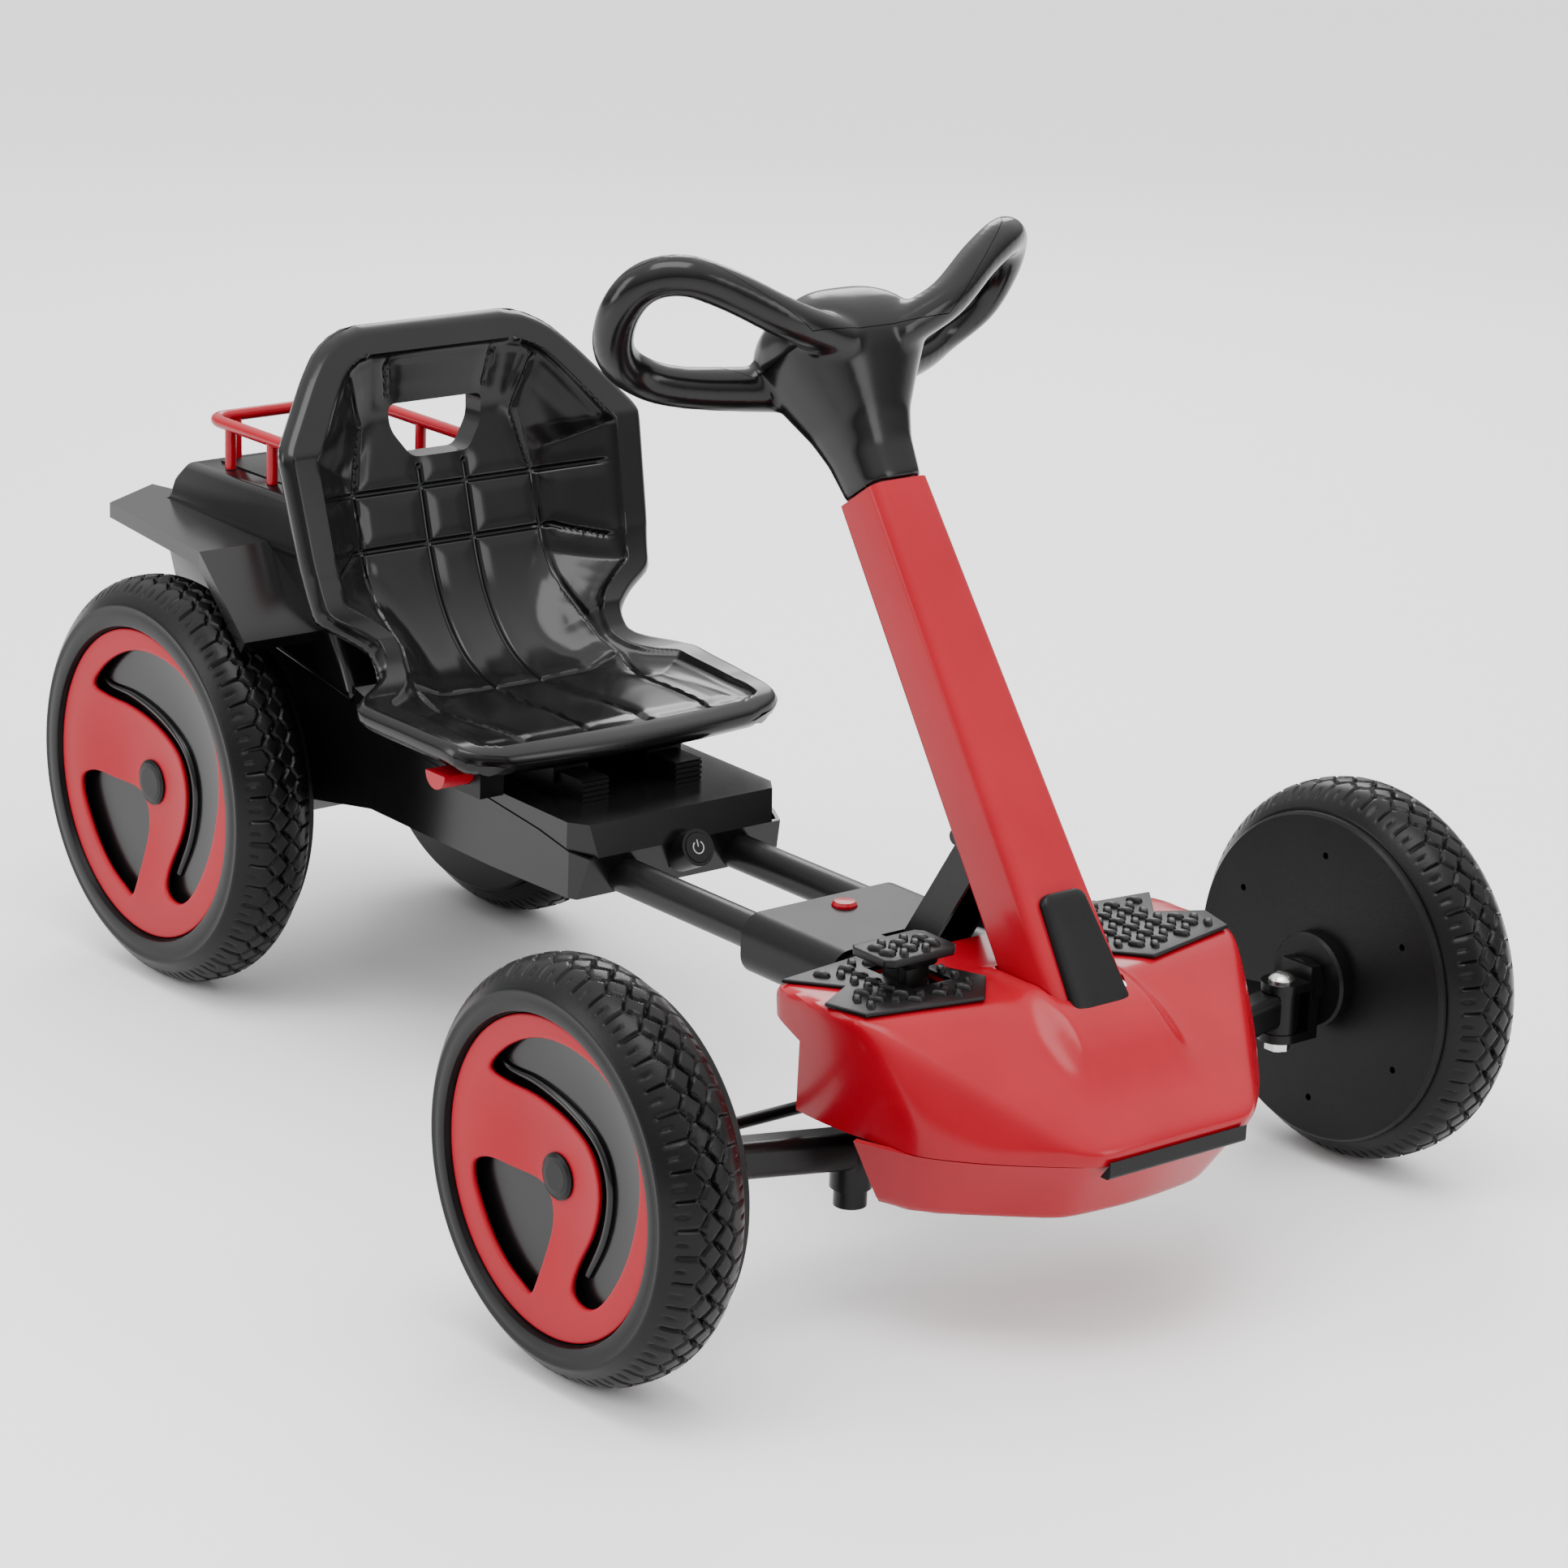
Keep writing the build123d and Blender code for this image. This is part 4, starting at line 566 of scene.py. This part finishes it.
# ---------------------------------------------------------------- nose
def faceted(name, planes, centre, z_end, rows, cols, soft, thick, mat, body, stands_for, bend=None):
    """Hollow shell round a convex body with softened edges, open where it meets the height z_end.

    planes are triples of points; each face looks away from the centre."""
    c = np.array(centre, float)
    normals, offsets = [], []
    for a, b, d in planes:
        a, b, d = (np.array(q, float) for q in (a, b, d))
        nrm = np.cross(b - a, d - a)
        nrm /= np.linalg.norm(nrm)
        if (a - c) @ nrm < 0:
            nrm = -nrm
        normals.append(nrm)
        offsets.append((a - c) @ nrm)
    normals, offsets = np.array(normals), np.array(offsets)

    def reach(direction):
        """Distance from the centre to the softened body along unit directions (n, 3)."""
        lo, hi = np.zeros(len(direction)), np.full(len(direction), 400.0)
        slope = direction @ normals.T
        for _ in range(34):
            mid = (lo + hi) / 2
            gap = (mid[:, None] * slope - offsets) / soft
            inside = np.log(np.exp(np.clip(gap, -60, 60)).sum(1)) < 0
            lo, hi = np.where(inside, mid, lo), np.where(inside, hi, mid)
        return lo

    up = 1 if z_end < centre[2] else -1
    az = np.linspace(0, 2 * pi, cols, endpoint=False)

    def ray(elev):
        return np.stack([np.cos(elev) * np.cos(az), np.cos(elev) * np.sin(az), up * np.sin(elev)], -1)

    lo, hi = np.full(cols, radians(-75)), np.full(cols, radians(85))
    for _ in range(30):
        mid = (lo + hi) / 2
        z = c[2] + reach(ray(mid)) * ray(mid)[:, 2]
        above = (z - z_end) * up > 0
        hi, lo = np.where(above, mid, hi), np.where(above, lo, mid)
    rings = []
    for i in range(rows):
        t = i / (rows - 1)
        elev = hi * (1 - t) + radians(90) * t
        dirs = ray(elev)
        pts = c + dirs * reach(dirs)[:, None]
        if bend is not None:
            pts = bend(pts)
        rings.append(pts)
    outer = np.array(rings[:-1])
    tip = rings[-1].mean(0)
    verts = outer.reshape(-1, 3).tolist() + [tip.tolist()]
    faces = grid(rows - 1, cols, wrap_cols=True)
    last = (rows - 2) * cols
    faces += [(last + j, last + (j + 1) % cols, len(verts) - 1) for j in range(cols)]
    obj = piece(name, verts, faces, mat, body, stands_for, 60)
    wall = obj.modifiers.new("wall", "SOLIDIFY")
    wall.thickness = thick / 1000
    wall.offset = -1
    freeze(obj)
    return obj


COVER_PLANES = [((74, 78, 220), (74, -78, 220), (0, 0, 220)),
                ((74, 78, 220), (74, -78, 220), (181.5, 0, 147)),
                ((181, 60, 146), (181, -60, 146), (178, 0, 136)),
                ((-47, 0, 220), (-47, 60, 220), (-47, 0, 136))]
for k in (1, -1):
    COVER_PLANES += [((74, k * 78, 220), (55, k * 168, 219), (182.5, k * 69, 146)),
                     ((55, k * 168, 219), (82, k * 165, 164), (182.5, k * 69, 146)),
                     ((82, k * 163, 136), (134, k * 122, 136), (82, k * 165, 160)),
                     ((134, k * 122, 136), (178.5, k * 64, 136), (182.5, k * 69, 146)),
                     ((55, k * 170, 212), (82, k * 165, 164), (60, k * 164, 136)),
                     ((50, k * 170, 219), (20, k * 176, 219), (30, k * 165, 136)),
                     ((20, k * 176, 219), (-34, k * 171, 219), (-10, k * 165, 136)),
                     ((-34, k * 171, 219), (-47, k * 77, 219), (-44, k * 100, 150))]


def collar(p):
    """The cover gathers up to the foot of the column, highest in front of it."""
    p = p.copy()
    q = p - FOOT
    behind = q @ L
    gap = np.hypot(np.maximum(np.abs(q[:, 1]) - 34, 0), np.maximum(np.maximum(-28 - behind, behind - 26), 0))
    ahead = ease((p[:, 0] - 60) / 50)
    p[:, 2] += (3 + 11 * ahead) * np.exp(-(gap / (7 + 7 * ahead)) ** 2) * ease((p[:, 2] - 160) / 25)
    return p



cover = faceted("nose_shell", COVER_PLANES, (60, 0, 165), 136.4, 110, 300, 2.6, 3, "red", "front_frame",
                ("nose_cover",), collar)


def bar(name, outline, low, high):
    """Prism along the steering axis over an outline of (across, behind)."""
    return prism(name, outline, lambda p: steer(low, p[1], p[0]), lambda p: steer(high, p[1], p[0]))


cut(cover,
    bar("hole", [(-33.5, 22), (-30, 26), (30, 26), (33.5, 22), (33.5, -20), (28, -26), (-28, -26),
                 (-33.5, -20)], -90, 60),
    prism("slot", [(-16, -105), (31, -105), (31, -71), (-16, -71)], 200, 240),
    prism("rear", [(-60, -70), (-32, -70), (-32, 70), (-60, 70)], 120, 240),
    prism("low", [(-80, 130), (-14, 130), (-6, 188), (-34, 199), (-80, 199)],
          lambda p: (p[0], -200, p[1]), lambda p: (p[0], 200, p[1])))
shade(cover, 40)

SKIRT_PLANES = [((146, 0, 85), (139, 64, 85), (82, 134, 85)), ((42, 0, 85), (42, 60, 85), (42, 0, 136))]
for k in (1, -1):
    SKIRT_PLANES += [((146, 0, 86), (139, k * 64, 86), (179.5, k * 10, 136)),
                     ((139, k * 64, 86), (82, k * 134, 90), (134, k * 122.5, 136)),
                     ((139, k * 64, 86), (178.5, k * 64, 136), (134, k * 122, 136)),
                     ((82, k * 134, 90), (54, k * 146, 95), (60, k * 164, 136)),
                     ((82, k * 134, 90), (134, k * 122, 136), (82, k * 162, 136))]
skirt = faceted("nose_bowl", SKIRT_PLANES, (95, 0, 122), 135.6, 50, 240, 2.2, 3, "red", "front_frame",
                ("nose_skirt",))
cut(skirt, prism("rear", [(20, -200), (50, -200), (50, 200), (20, 200)], 60, 160))
shade(skirt, 40)

# ---------------------------------------------------------------- foot pads and pedal
PAD = [(70, 76), (52, 162), (20, 171), (2, 139), (-31, 166), (-42, 77), (-29, 74), (38, 47)]


def inside_polygon(px, py, outline):
    hit = False
    for (x1, y1), (x2, y2) in zip(outline, outline[1:] + outline[:1]):
        if (y1 > py) != (y2 > py) and px < (x2 - x1) * (py - y1) / (y2 - y1) + x1:
            hit = not hit
    return hit


def stud(x, y, z, length, width, height, turn):
    """Rounded bar standing on a pad: (verts, faces)."""
    ring = []
    for a in range(0, 360, 30):
        ca, sa = cos(radians(a)), sin(radians(a))
        ring.append((ca * width / 2 + np.sign(round(ca, 6)) * (length - width) / 2, sa * width / 2))
    verts = []
    for scale, h in ((1.18, 0), (1.0, height * 0.7), (0.62, height)):
        for px, py in ring:
            qx, qy = px * scale, py * scale
            verts.append((x + qx * cos(turn) - qy * sin(turn), y + qx * sin(turn) + qy * cos(turn), z + h))
    n = len(ring)
    faces = [(r * n + i, r * n + (i + 1) % n, (r + 1) * n + (i + 1) % n, (r + 1) * n + i)
             for r in range(2) for i in range(n)]
    return verts, faces + [tuple(range(2 * n, 3 * n))]


def studded(name, outline, z, thick, body, stands_for, skip=None, step=(14, 10.5), margin=8):
    n = len(outline)
    verts = [(x, y, z) for x, y in outline] + [(x, y, z + thick) for x, y in outline]
    base = loose("base", verts, [tuple(range(n - 1, -1, -1)), tuple(range(n, 2 * n))]
                 + [(i, (i + 1) % n, n + (i + 1) % n, n + i) for i in range(n)])
    rounded(base, 1.2, 3)
    freeze(base)
    if skip:
        x0, y0, x1, y1 = skip
        cut(base, prism("gap", [(x0, y0), (x1, y0), (x1, y1), (x0, y1)], z - 5, z + 12))
    out_v = [((v.co.x * 1000) - FRONT_X, v.co.y * 1000, v.co.z * 1000) for v in base.data.vertices]
    out_f = [tuple(p.vertices) for p in base.data.polygons]
    bpy.data.objects.remove(base)
    lines = list(zip(outline, outline[1:] + outline[:1]))
    xs, ys = [p[0] for p in outline], [p[1] for p in outline]
    row = 0
    y = min(ys)
    while y < max(ys):
        x = min(xs) + (row % 2) * step[0] / 2
        while x < max(xs):
            ok = inside_polygon(x, y, outline) and near_segments(np.array([[x, y]], float), lines)[0] > margin
            if ok and skip:
                ok = not (skip[0] - 5 < x < skip[2] + 5 and skip[1] - 5 < y < skip[3] + 5)
            if ok:
                v, f = stud(x, y, z + thick, 10.5, 5.4, 3.2, radians(35 if row % 2 else -35))
                out_f += [tuple(i + len(out_v) for i in q) for q in f]
                out_v += v
            x += step[0]
        y += step[1]
        row += 1
    return piece(name, out_v, out_f, "matte", body, stands_for, 35)


PEDAL_SLOT = (-16, -105, 31, -71)
studded("studded_pad_left", PAD, 220, 3, "front_frame", ("foot_pad_left",))
studded("studded_pad_right", [(x, -y) for x, y in PAD], 220, 3, "front_frame", ("foot_pad_right",),
        PEDAL_SLOT)
TREAD = [(-9, -124), (-4, -128), (28, -128), (33, -122), (33, -72), (28, -66), (-4, -66), (-9, -71)]
studded("pedal_tread", TREAD, 240, 6, "pedal", ("pedal",), None, (11.5, 9.5), 6)


def block(name, low, high, mat, body, width, stands_for=()):
    """Rounded block between two corners."""
    (x0, y0, z0), (x1, y1, z1) = low, high
    verts = [(x, y, z) for z in (z0, z1) for x, y in ((x0, y0), (x1, y0), (x1, y1), (x0, y1))]
    obj = loose(name, verts, [(3, 2, 1, 0), (4, 5, 6, 7), (0, 1, 5, 4), (1, 2, 6, 5), (2, 3, 7, 6),
                              (3, 0, 4, 7)])
    rounded(obj, width, 4)
    freeze(obj)
    return dress(obj, mat, body, stands_for, 40)


block("pedal_stem", (-7, -101, 188), (16, -76, 240.5), "matte", "pedal", 4)
block("pedal_neck", (-3, -103, 230), (21, -73, 240.5), "matte", "pedal", 4)

# ---------------------------------------------------------------- column and its insert
def rounded_section(half, front, rear, front_r, rear_r, n=7):
    ring = []
    for y, e, r, start in ((half, rear, rear_r, 0), (-half, rear, rear_r, 90), (-half, front, front_r, 180),
                           (half, front, front_r, 270)):
        cy, ce = y - np.sign(y) * r, e - np.sign(e) * r
        ring += [(cy + r * cos(radians(start + a)), ce + r * sin(radians(start + a)))
                 for a in np.linspace(0, 90, n)]
    return ring


COLUMN_LOW, COLUMN_TOP = -62, 339    # along the steering axis from the foot point
COLUMN_HALF, COLUMN_DEPTH = (33, 25), (25, 22)      # half width and half depth, at the foot and at the top


def column(low, top):
    rings = []
    for d in np.linspace(low, top, 26):
        taper = (d - COLUMN_LOW) / (COLUMN_TOP - COLUMN_LOW)
        half, depth = (a + (b - a) * taper for a, b in (COLUMN_HALF, COLUMN_DEPTH))
        ring = rounded_section(half, -depth, depth, 9, 5)
        rings.append([steer(d, e - (0.9 * (1 - (y / half) ** 2) if e < 0 else 0), y) for y, e in ring])
    n = len(rings[0])
    faces = grid(len(rings), n, wrap_cols=True)
    faces += [tuple(range(n - 1, -1, -1)), tuple((len(rings) - 1) * n + i for i in range(n))]
    return piece("steering_column", [v for r in rings for v in r], faces, "red", "front_frame",
                 ("column_shell",), 40)


column(-61, 338.4)


def insert():
    outline = []
    for y, d, start in ((19, 37, 0), (-19, 37, 90), (-24.5, -50, 180), (24.5, -50, 270)):
        cy, cd = y - np.sign(y) * 8, d - np.sign(d) * 8
        outline += [(cy + 8 * cos(radians(start + a)), cd + 8 * sin(radians(start + a)))
                    for a in range(0, 91, 10)]
    rings = []
    for inset, e in ((0, -24), (0, -28.6), (0.6, -29.8), (2.2, -30.8), (6, -31.4), (14, -31.9)):
        k, m = 1 - inset / 22, 1 - inset / 43.5
        rings.append([steer(-6.5 + (d + 6.5) * m, e, y * k) for y, d in outline])
    n = len(outline)
    faces = grid(len(rings), n, wrap_cols=True)
    faces += [tuple(range(n - 1, -1, -1)), tuple((len(rings) - 1) * n + i for i in range(n))]
    return piece("column_grip_pad", [v for r in rings for v in r], faces, "satin", "front_frame",
                 ("column_insert",), 50)


insert()

# ---------------------------------------------------------------- steering head
HEAD = ((0.5, 25, 25, -22, 22), (28, 27.5, 27, -25, 26), (48, 33, 31, -31, 32), (70, 45, 41, -41, 39),
        (88, 56, 49, -49, 43), (97, 60, 52, -52, 45), (101, 60, 53, -52, 46))
DOME_AXIS, DOME_UP = (440, -4.5), 42
LOOP = ((436, -38, 22), (440, -42, 36), (452, -49, 70), (477, -50, 110), (492, -47, 140), (496, -30, 160),
        (487, -5, 168), (472, 22, 161), (460, 41, 136), (446, 41, 102), (430, 28, 30))


def section_ring(front_half, rear_half, front, rear, n=64):
    """Rounded trapezoid section, wider at the front: points (across, behind)."""
    mid, depth = (front + rear) / 2, (rear - front) / 2
    ring = []
    for i in range(n):
        a = 2 * pi * i / n
        ca, sa = cos(a), sin(a)
        p = 3.2
        r = (abs(ca) ** p + abs(sa) ** p) ** (-1 / p)
        e = mid + depth * r * sa
        half = front_half + (rear_half - front_half) * (e - front) / (rear - front)
        ring.append((half * r * ca, e))
    return ring


def head_form():
    rings = []
    ups = np.array([h[0] for h in HEAD])
    for up in np.linspace(0.5, 101, 36):
        vals = [np.interp(up, ups, [h[i] for h in HEAD]) for i in range(1, 5)]
        rings.append([steer(COLUMN_TOP + up, e, y) for y, e in section_ring(*vals)])
    base = np.array(section_ring(*HEAD[-1][1:]))
    for a in np.radians([9, 18, 27, 36, 45, 54, 63, 72, 80, 86]):
        mid = np.array([0, DOME_AXIS[1]])
        ring = mid + (base - mid) * cos(a) ** 0.85
        rings.append([steer(DOME_AXIS[0] + DOME_UP * sin(a), e, y) for y, e in ring])
    n = 64
    verts = [v for ring in rings for v in ring]
    faces = grid(len(rings), n, wrap_cols=True) + [tuple(range(n - 1, -1, -1)),
                                                  tuple((len(rings) - 1) * n + i for i in range(n))]
    for k in (1, -1):
        path = smooth_path([steer(d, e, k * y) for d, e, y in LOOP])
        t = np.linspace(0, 1, len(path))
        radius = 14.1 + 1.5 * np.exp(-(t / 0.1) ** 2) + 2.0 * np.exp(-((1 - t) / 0.08) ** 2)
        v, f = tube(path, radius)
        faces += [tuple(i + len(verts) for i in q) for q in f]
        verts += v
    obj = loose("head_form", verts, faces)
    mesh = obj.modifiers.new("merge", "REMESH")
    mesh.mode = "VOXEL"
    mesh.voxel_size = 0.0024
    soft = obj.modifiers.new("soften", "SMOOTH")
    soft.iterations = 9
    freeze(obj)
    return obj


def part_line(gap, above):
    """Block above or below the head's parting line, which climbs over the loops."""
    line = [(-200, 505), (-141, 505), (-60, 438), (60, 438), (141, 505), (200, 505)]
    shift = gap if above else -gap
    end = 620 if above else 250
    outline = [(y, d + shift) for y, d in line] + [(200, end), (-200, end)]
    return prism("half", outline, lambda p: steer(p[1], -120, p[0]), lambda p: steer(p[1], 120, p[0]))


for name, above in (("upper", True), ("lower", False)):
    half = head_form()
    cut(half, part_line(0.25, above), keep_inside=True)
    half.name = f"grip_head_{name}"
    dress(half, "gloss", "steering", (f"head_{name}",), 45)

# ---------------------------------------------------------------- luggage rack
def rails(name, splines, radius, mat, body, stands_for):
    curve = bpy.data.curves.new(name, "CURVE")
    curve.dimensions = "3D"
    curve.bevel_depth = radius / 1000
    curve.bevel_resolution = 5
    curve.use_fill_caps = True
    for pts, scale in splines:
        line = curve.splines.new("POLY")
        line.points.add(len(pts) - 1)
        for point, q in zip(line.points, pts):
            point.co = (*at(*q), 1)
            point.radius = scale
    obj = bpy.data.objects.new(name, curve)
    bpy.context.scene.collection.objects.link(obj)
    curve.materials.append(MAT[mat])
    graph = bpy.context.evaluated_depsgraph_get()
    mesh = bpy.data.meshes.new_from_object(obj.evaluated_get(graph))
    bpy.data.objects.remove(obj)
    solid = bpy.data.objects.new(name, mesh)
    bpy.context.scene.collection.objects.link(solid)
    return dress(solid, mat, body, stands_for, 60)


def corner(a, b, c, r=12, n=8):
    """Rounds the corner at b between a and c."""
    a, b, c = (np.array(q, float) for q in (a, b, c))
    p = b + (a - b) / np.linalg.norm(a - b) * r
    q = b + (c - b) / np.linalg.norm(c - b) * r
    return [tuple((1 - t) ** 2 * p + 2 * t * (1 - t) * b + t * t * q) for t in np.linspace(0, 1, n)]


TOP = 421
rail = [(-715, -70, 387)] + corner((-715, -70, 387), (-715, -70, TOP), (-800, -70, TOP), 9)
rail += corner((-800, -70, TOP), (-883, -70, TOP), (-883, 0, TOP), 18)
rail += corner((-883, 0, TOP), (-883, 70, TOP), (-800, 70, TOP), 18)
rail += corner((-800, 70, TOP), (-715, 70, TOP), (-715, 70, 387), 9) + [(-715, 70, 387)]
posts = [([(x, k * y, 386.5), (x, k * y, TOP)], 0.9)
         for x, y in ((-792, 70), (-852, 70), (-883, 45)) for k in (1, -1)]
rails("rack_rails", [(rail, 1.0)] + posts, 5, "rack_red", "rear_frame", ("luggage_rack",))


# ---------------------------------------------------------------- housing, from its CAD node
def hull_of(node, name, mat, body, width, keep=lambda v: True):
    """Rounded closed form of a CAD node."""
    src = NODES[node].data
    form = bmesh.new()
    for v in src.vertices:
        if keep(v.co):
            form.verts.new(v.co)
    made = bmesh.ops.convex_hull(form, input=form.verts)
    bmesh.ops.delete(form, geom=[g for g in made["geom_interior"] if isinstance(g, bmesh.types.BMVert)],
                     context="VERTS")
    bmesh.ops.dissolve_limit(form, angle_limit=radians(2), verts=form.verts, edges=form.edges)
    mesh = bpy.data.meshes.new(name)
    form.to_mesh(mesh)
    form.free()
    obj = bpy.data.objects.new(name, mesh)
    bpy.context.scene.collection.objects.link(obj)
    rounded(obj, width, 5, 20)
    freeze(obj)
    return dress(obj, mat, body, (node,), 50)


hull_of("rear_housing", "tail_housing", "gloss", "rear_frame", 9)

# ---------------------------------------------------------------- power symbol on its button
def ring_mesh(name, origin, across, up, r, thick, start, stop, mat, body, push):
    o, a, b = (np.array(q, float) for q in (origin, across, up))
    n = np.cross(a, b)
    turn = np.linspace(radians(start), radians(stop), 40)
    path = [o + n * push + (a * cos(t) + b * sin(t)) * r for t in turn]
    v, f = tube(np.array(path), np.full(len(path), thick), 8)
    path = [o + n * push + b * t for t in np.linspace(r * 0.1, r * 1.25, 6)]
    v2, f2 = tube(np.array(path), np.full(len(path), thick), 8)
    return piece(name, v + v2, f + [tuple(i + len(v) for i in q) for q in f2], mat, body, (), 60)


tilt = radians(25)
ring_mesh("power_symbol", (-331.55, 0, 202.2), (0, 1, 0), (-sin(tilt), 0, cos(tilt)), 4.6, 0.42, 125, 415,
          "icon",
          "power_button", 0.0)

# ---------------------------------------------------------------- finish of the CAD nodes that stay
KEEP = {
    "satin": "wheel_disc_front_left wheel_disc_front_right wheel_disc_rear_left wheel_disc_rear_right "
             "hub_cap_front_left hub_cap_front_right hub_cap_rear_left hub_cap_rear_right connector_block "
             "button_bezel power_button nose_strip gearbox_cases seat_rails seat_runners deck_panel",
    "gloss": "base_tray base_cover fender_left fender_right",
    "red": "frame_button seat_button",
    "paint": "main_tubes front_frame brace_strut tie_rod knuckle_left knuckle_right",
    "steel": "kingpin_left kingpin_right rear_axle steering_shaft motors motor_pinion_left "
             "motor_pinion_right",
    "nylon": "steering_bushes drive_gear_left drive_gear_right",
    "battery": "battery",
    "board": "control_board",
}
ROUND = {"fender_left": 5, "fender_right": 5, "base_tray": 1.4, "base_cover": 1.4,
         "connector_block": 5.0, "nose_strip": 1.6,
         "seat_rails": 0.8, "brace_strut": 0.8, "front_frame": 1.0, "deck_panel": 0.8, "frame_button": 0.8,
         "hub_cap_front_left": 0.8, "hub_cap_front_right": 0.8, "hub_cap_rear_left": 0.8,
         "hub_cap_rear_right": 0.8, "power_button": 0.8, "button_bezel": 1.0, "seat_button": 1.0,
         "knuckle_left": 0.8, "knuckle_right": 0.8}
for mat, names in KEEP.items():
    for node in names.split():
        obj = NODES[node]
        obj.data.materials.clear()
        obj.data.materials.append(MAT[mat])
        if node in ROUND:
            rounded(obj, ROUND[node], 3, 25)

# ---------------------------------------------------------------- stage, light and camera
floor_mat = bpy.data.materials.new("floor")
floor_mat.use_nodes = True
floor_mat.node_tree.nodes["Principled BSDF"].inputs["Base Color"].default_value = (0.93, 0.93, 0.93, 1)
floor_mat.node_tree.nodes["Principled BSDF"].inputs["Roughness"].default_value = 0.6
plane = bpy.data.meshes.new("floor")
plane.from_pydata([(-30, -30, 0), (30, -30, 0), (30, 30, 0), (-30, 30, 0)], [], [(0, 1, 2, 3)])
floor = bpy.data.objects.new("floor", plane)
bpy.context.scene.collection.objects.link(floor)
plane.materials.append(floor_mat)

world = bpy.data.worlds.new("studio")
bpy.context.scene.world = world
world.use_nodes = True
sky = world.node_tree.nodes
look = sky.new("ShaderNodeTexCoord")
split = sky.new("ShaderNodeSeparateXYZ")
span = sky.new("ShaderNodeMapRange")
span.inputs["From Min"].default_value = 0.05
span.inputs["From Max"].default_value = 0.75
span.inputs["To Min"].default_value = 0.35
span.inputs["To Max"].default_value = 2.2
world.node_tree.links.new(look.outputs["Generated"], split.inputs["Vector"])
world.node_tree.links.new(split.outputs["Z"], span.inputs["Value"])
world.node_tree.links.new(span.outputs["Result"], sky["Background"].inputs["Strength"])
sky["Background"].inputs["Color"].default_value = (1, 1, 1, 1)


def softbox(name, place, target, width, height, power):
    lamp = bpy.data.lights.new(name, "AREA")
    lamp.shape = "RECTANGLE"
    lamp.size, lamp.size_y, lamp.energy = width, height, power
    obj = bpy.data.objects.new(name, lamp)
    bpy.context.scene.collection.objects.link(obj)
    obj.location = place
    obj.rotation_euler = (Vector(target) - Vector(place)).to_track_quat("-Z", "Y").to_euler()


softbox("key", (0.6, -0.6, 3.0), (0, 0, 0.3), 2.2, 1.4, 60)
softbox("side", (-1.2, -3.0, 1.6), (0, 0, 0.3), 1.2, 2.2, 45)
softbox("rim", (-2.2, 2.2, 2.2), (0, 0, 0.3), 1.6, 1.6, 45)
softbox("front", (3.2, 1.4, 1.4), (0.2, 0, 0.3), 1.0, 1.8, 25)

YAW, PITCH, ROLL = radians(140.51), radians(-17.19), radians(2.05)
forward = Vector((cos(PITCH) * cos(YAW), cos(PITCH) * sin(YAW), sin(PITCH)))
right = forward.cross(Vector((0, 0, 1))).normalized()
up = right.cross(forward)
turned_right = right * cos(ROLL) + up * sin(ROLL)
turned_up = up * cos(ROLL) - right * sin(ROLL)
lens = bpy.data.cameras.new("camera")
lens.lens = 106.6
lens.sensor_width = 36
lens.clip_end = 100
camera = bpy.data.objects.new("camera", lens)
bpy.context.scene.collection.objects.link(camera)
pose = Matrix((turned_right, turned_up, -forward)).transposed().to_4x4()
pose.translation = (2.5736, -1.9971, 1.2469)
camera.matrix_world = pose
bpy.context.scene.camera = camera

bpy.context.view_layer.update()
